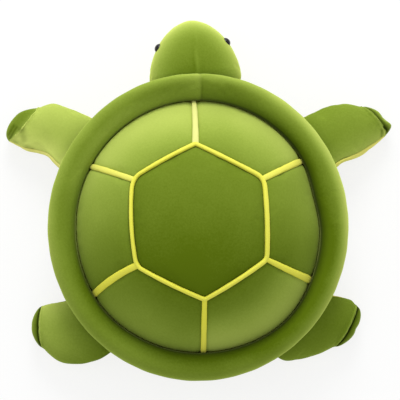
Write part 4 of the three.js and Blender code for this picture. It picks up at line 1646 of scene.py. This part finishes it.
# Brushed pile and painted light at the root, at the end, towards the lead
# edge, towards the trailing edge, and on the sole beside its seam and away
# from it: 0 is deep, 1 is pale.
limb_brush_and_light = {
    "front_left": (0.45, 0.6, 0.04, 0.75, 0.4, 0.08),
    "front_right": (0.16, 0.26, -0.06, 0.45, 0.12, 0.42),
    "rear_left": (0.11, 0.42, 0.28, -0.16, 0.1, 0.16),
    "rear_right": (0.09, 0.12, 0.0, 0.06, 0.06, 0.12),
}


def limb_nap_and_light(name, whole, along, across, from_end, on_sole):
    """How pale a limb is: brushed pile, and painted light, sheen and highlight."""
    root, end, lead, trail, sole_near, sole_far = limb_brush_and_light[name]
    nap_and_light = root + (end - root) * ease(along)
    nap_and_light += lead * np.clip(across, 0, 1) ** 2 + trail * np.clip(-across, 0, 1) ** 2
    sole = sole_far + (sole_near - sole_far) * bell(from_end / 8)
    nap_and_light = np.where(on_sole, sole, nap_and_light)
    return nap_and_light + 0.22 * bell(from_end / 1.3) + 0.12 * steepness(whole)


print("folds:", {name: len(folds) for name, folds in fold_lines.items()})


# %% [markdown]
# The end seam stands up as a ridge with a slit beyond it, and small tucks run
# along every seam. Then the covers are cut out of the stuffed whole. The sole
# moves with the limb alone. The top and the under panel are sewn to the torso
# and stay where they are made.

# %% A limb's seams
def press_limb_seams(limb, whole, even_section, section, along, from_end, on_sole):
    """Presses the seams in, and returns the painted shade of the side seams."""
    half_width = limb["width"] / 2
    from_side = np.where(on_sole, 99, half_width * np.abs(np.sin(even_section)))
    grown = ease(along / 0.35)
    off_outline = ease(np.abs(np.sin(section)) / 0.5)
    slit = limb["slit"] * on_sole * bell((from_end - SLIT_PLACE) / 1.8)
    slit = slit * (0.15 + 0.85 * off_outline)
    body_dip = 0.4 * ~on_sole * bell((from_end - 5) / 3)
    ridge = (1.1 * bell(from_end / 1.4) - body_dip) * off_outline - SLIT_DEPTH * slit
    spread = even_section * half_width
    end_waves = np.sin(spread / 2.6) + np.sin(spread / 4.1 + 1)
    end_tucks = 0.15 * bell(from_end / 6) * end_waves
    side_waves = np.sin(along * limb["reach"] / 2.9 + limb["angle"])
    side_tucks = 0.15 * bell(from_side / 8) * side_waves
    press(whole, (ridge + end_tucks + side_tucks) * (0.1 + 0.9 * grown))
    press(whole, -0.6 * bell(from_side / 2.2) * grown)
    return 0.12 * bell(from_side / 1.6) * grown


def cut_limb_covers(name, whole, upper, sole):
    """The three covers of a limb; the sole goes on the limb's body."""
    covers = [
        ("top", upper, green_velour, "velour_green", ["top", "filling"]),
        ("under", ~upper & ~sole, yellow_velour, "velour_yellow", ["under"]),
        ("sole", sole, green_velour, "velour_green", ["sole"]),
    ]
    made = []
    for part, chosen, material, slot, nodes in covers:
        cover = cut_out(whole, f"{name}_{part}_cover", chosen, material)
        cloth_wall(cover)
        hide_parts(*[f"{name}_limb_{node}" for node in nodes])
        if part == "sole":
            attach(cover, f"{name}_limb")
        else:
            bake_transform(cover)
        made.append(cover)
    discard(whole)
    return made


# %% Making the limbs
def make_limb(name, limb):
    bm, ball, row, even_section = ball_rows(LIMB_COLUMNS, LIMB_ROWS)
    index, along, section, shrink, puff, from_end = limb_rows(limb, ball, row)
    move_points(bm, limb_form(limb, along, section, shrink, puff))
    whole = finish_piece(f"{name}_whole", bm, green_velour)
    on_sole = index > ROOT_ROWS + BODY_ROWS
    on_end_seam = index == ROOT_ROWS + BODY_ROWS
    on_side_seam = (np.abs(ball[:, 1]) < 1e-4) & ~on_sole
    held = np.maximum(on_end_seam | on_side_seam, ease(1 - along / 0.3))
    stuff(whole, held.astype(float), LIMB_CAP, LIMB_SLACK)
    side_seam_shade = press_limb_seams(
        limb, whole, even_section, section, along, from_end, on_sole
    )
    fold_marks = limb_folds(name, whole)
    keep_above_floor(whole, LIMB_FLOOR_GAP)
    nap_and_light = limb_nap_and_light(name, whole, along, np.cos(section), from_end, on_sole)
    # Painted shade in the folds, in the slit beyond the end seam and along the side seams.
    give_numbers(whole, "nap_and_light", nap_and_light - 0.12 * fold_marks)
    slit_shade = 0.8 * bell((from_end - SLIT_PLACE) / 1.7) + 0.25 * bell((from_end - 4) / 6)
    crease_shading = 0.25 * fold_marks + limb["slit"] * on_sole * slit_shade + side_seam_shade
    give_numbers(whole, "seam_shade", np.clip(crease_shading, 0, 1))
    sole = face_values(whole, index) > ROOT_ROWS + BODY_ROWS
    upper = (face_values(whole, ball[:, 1]) > 0) & ~sole
    return cut_limb_covers(name, whole, upper, sole)


limb_covers = {name: make_limb(name, limb) for name, limb in limbs.items()}
print("limbs:", {name: len(made) for name, made in limb_covers.items()})

# %% [markdown]
# ## Floor and light
# The photo has a plain white ground. The floor is pale, so that the toy's
# shadow falls on it, and white to the camera beside that. One big soft lamp
# stands at the head's side of the table, as in the photo, where the panels
# turned to the head are bright and the others dark. The world fills the rest.

# %% Floor
FLOOR_SIDE = 6000
FLOOR_WHITENING = 0.8
CLOUD_SIZE = 40


def floor_material():
    material = bare_material("pale matt paper")
    place = add_node(material, "ShaderNodeTexCoord").outputs["Object"]
    fibres = add_node(
        material,
        "ShaderNodeTexNoise",
        inputs={"Scale": noise_scale(CLOUD_SIZE), "Detail": 2},
        links={"Vector": place},
    )
    shade = add_node(
        material,
        "ShaderNodeMix",
        {"data_type": "RGBA"},
        inputs={"A": linear("#f1f1ef"), "B": linear("#f5f5f3")},
        links={"Factor": fibres.outputs["Fac"]},
    )
    paper = add_node(
        material,
        "ShaderNodeBsdfPrincipled",
        inputs={"Roughness": 0.95, "Specular IOR Level": 0.1},
        links={"Base Color": shade.outputs["Result"]},
    )
    white = {"Color": linear("#ffffff")}
    lit = add_node(material, "ShaderNodeEmission", inputs=white)
    paths = add_node(material, "ShaderNodeLightPath")
    seen = add_node(
        material,
        "ShaderNodeMath",
        {"operation": "MULTIPLY"},
        inputs={1: FLOOR_WHITENING},
        links={0: paths.outputs["Is Camera Ray"]},
    )
    surface = add_node(
        material,
        "ShaderNodeMixShader",
        links={
            0: seen.outputs["Value"],
            1: paper.outputs["BSDF"],
            2: lit.outputs["Emission"],
        },
    )
    add_node(
        material, "ShaderNodeOutputMaterial", links={"Surface": surface.outputs["Shader"]}
    )
    return material


bm = bmesh.new()
bmesh.ops.create_grid(bm, x_segments=1, y_segments=1, size=FLOOR_SIDE / 2)
floor = finish_piece("floor", bm, floor_material(), inside=Vector((0, 0, -1)))
print("floor, m wide:", FLOOR_SIDE * MM)

# %% Lights
KEY_WATTS = 52.0
TOP_WATTS = 6.0
FILL_STRENGTH = 0.72


def soft_lamp(name, place, aim, size, watts):
    lamp = bpy.data.lights.new(name, "AREA")
    lamp.shape = "DISK"
    lamp.size = size
    lamp.energy = watts
    obj = bpy.data.objects.new(name, lamp)
    obj.location = place
    heading = Vector(aim) - Vector(place)
    obj.rotation_euler = heading.to_track_quat("-Z", "Y").to_euler()
    bpy.context.scene.collection.objects.link(obj)
    return obj


soft_lamp("key lamp", (0.0, -2.3, 1.5), (0, 0, 0.1), 1.4, KEY_WATTS)
soft_lamp("top lamp", (0.6, -0.5, 2.7), (0, 0, 0), 1.6, TOP_WATTS)
print("lamps, W:", KEY_WATTS, TOP_WATTS)

world = bpy.data.worlds.new("studio")
bpy.context.scene.world = world
world.use_nodes = True
world.node_tree.nodes.clear()
paths = add_node(world, "ShaderNodeLightPath")
seen = add_node(
    world,
    "ShaderNodeMath",
    {"operation": "MAXIMUM"},
    links={0: paths.outputs["Is Camera Ray"], 1: paths.outputs["Is Glossy Ray"]},
)
strength = add_node(
    world,
    "ShaderNodeMapRange",
    inputs={"To Min": FILL_STRENGTH, "To Max": 1.0},
    links={"Value": seen.outputs["Value"]},
)
backdrop = add_node(
    world,
    "ShaderNodeBackground",
    inputs={"Color": linear("#ffffff")},
    links={"Strength": strength.outputs["Result"]},
)
add_node(world, "ShaderNodeOutputWorld", links={"Surface": backdrop.outputs["Background"]})

# %% Look
scene = bpy.context.scene
scene.view_settings.view_transform = "Standard"
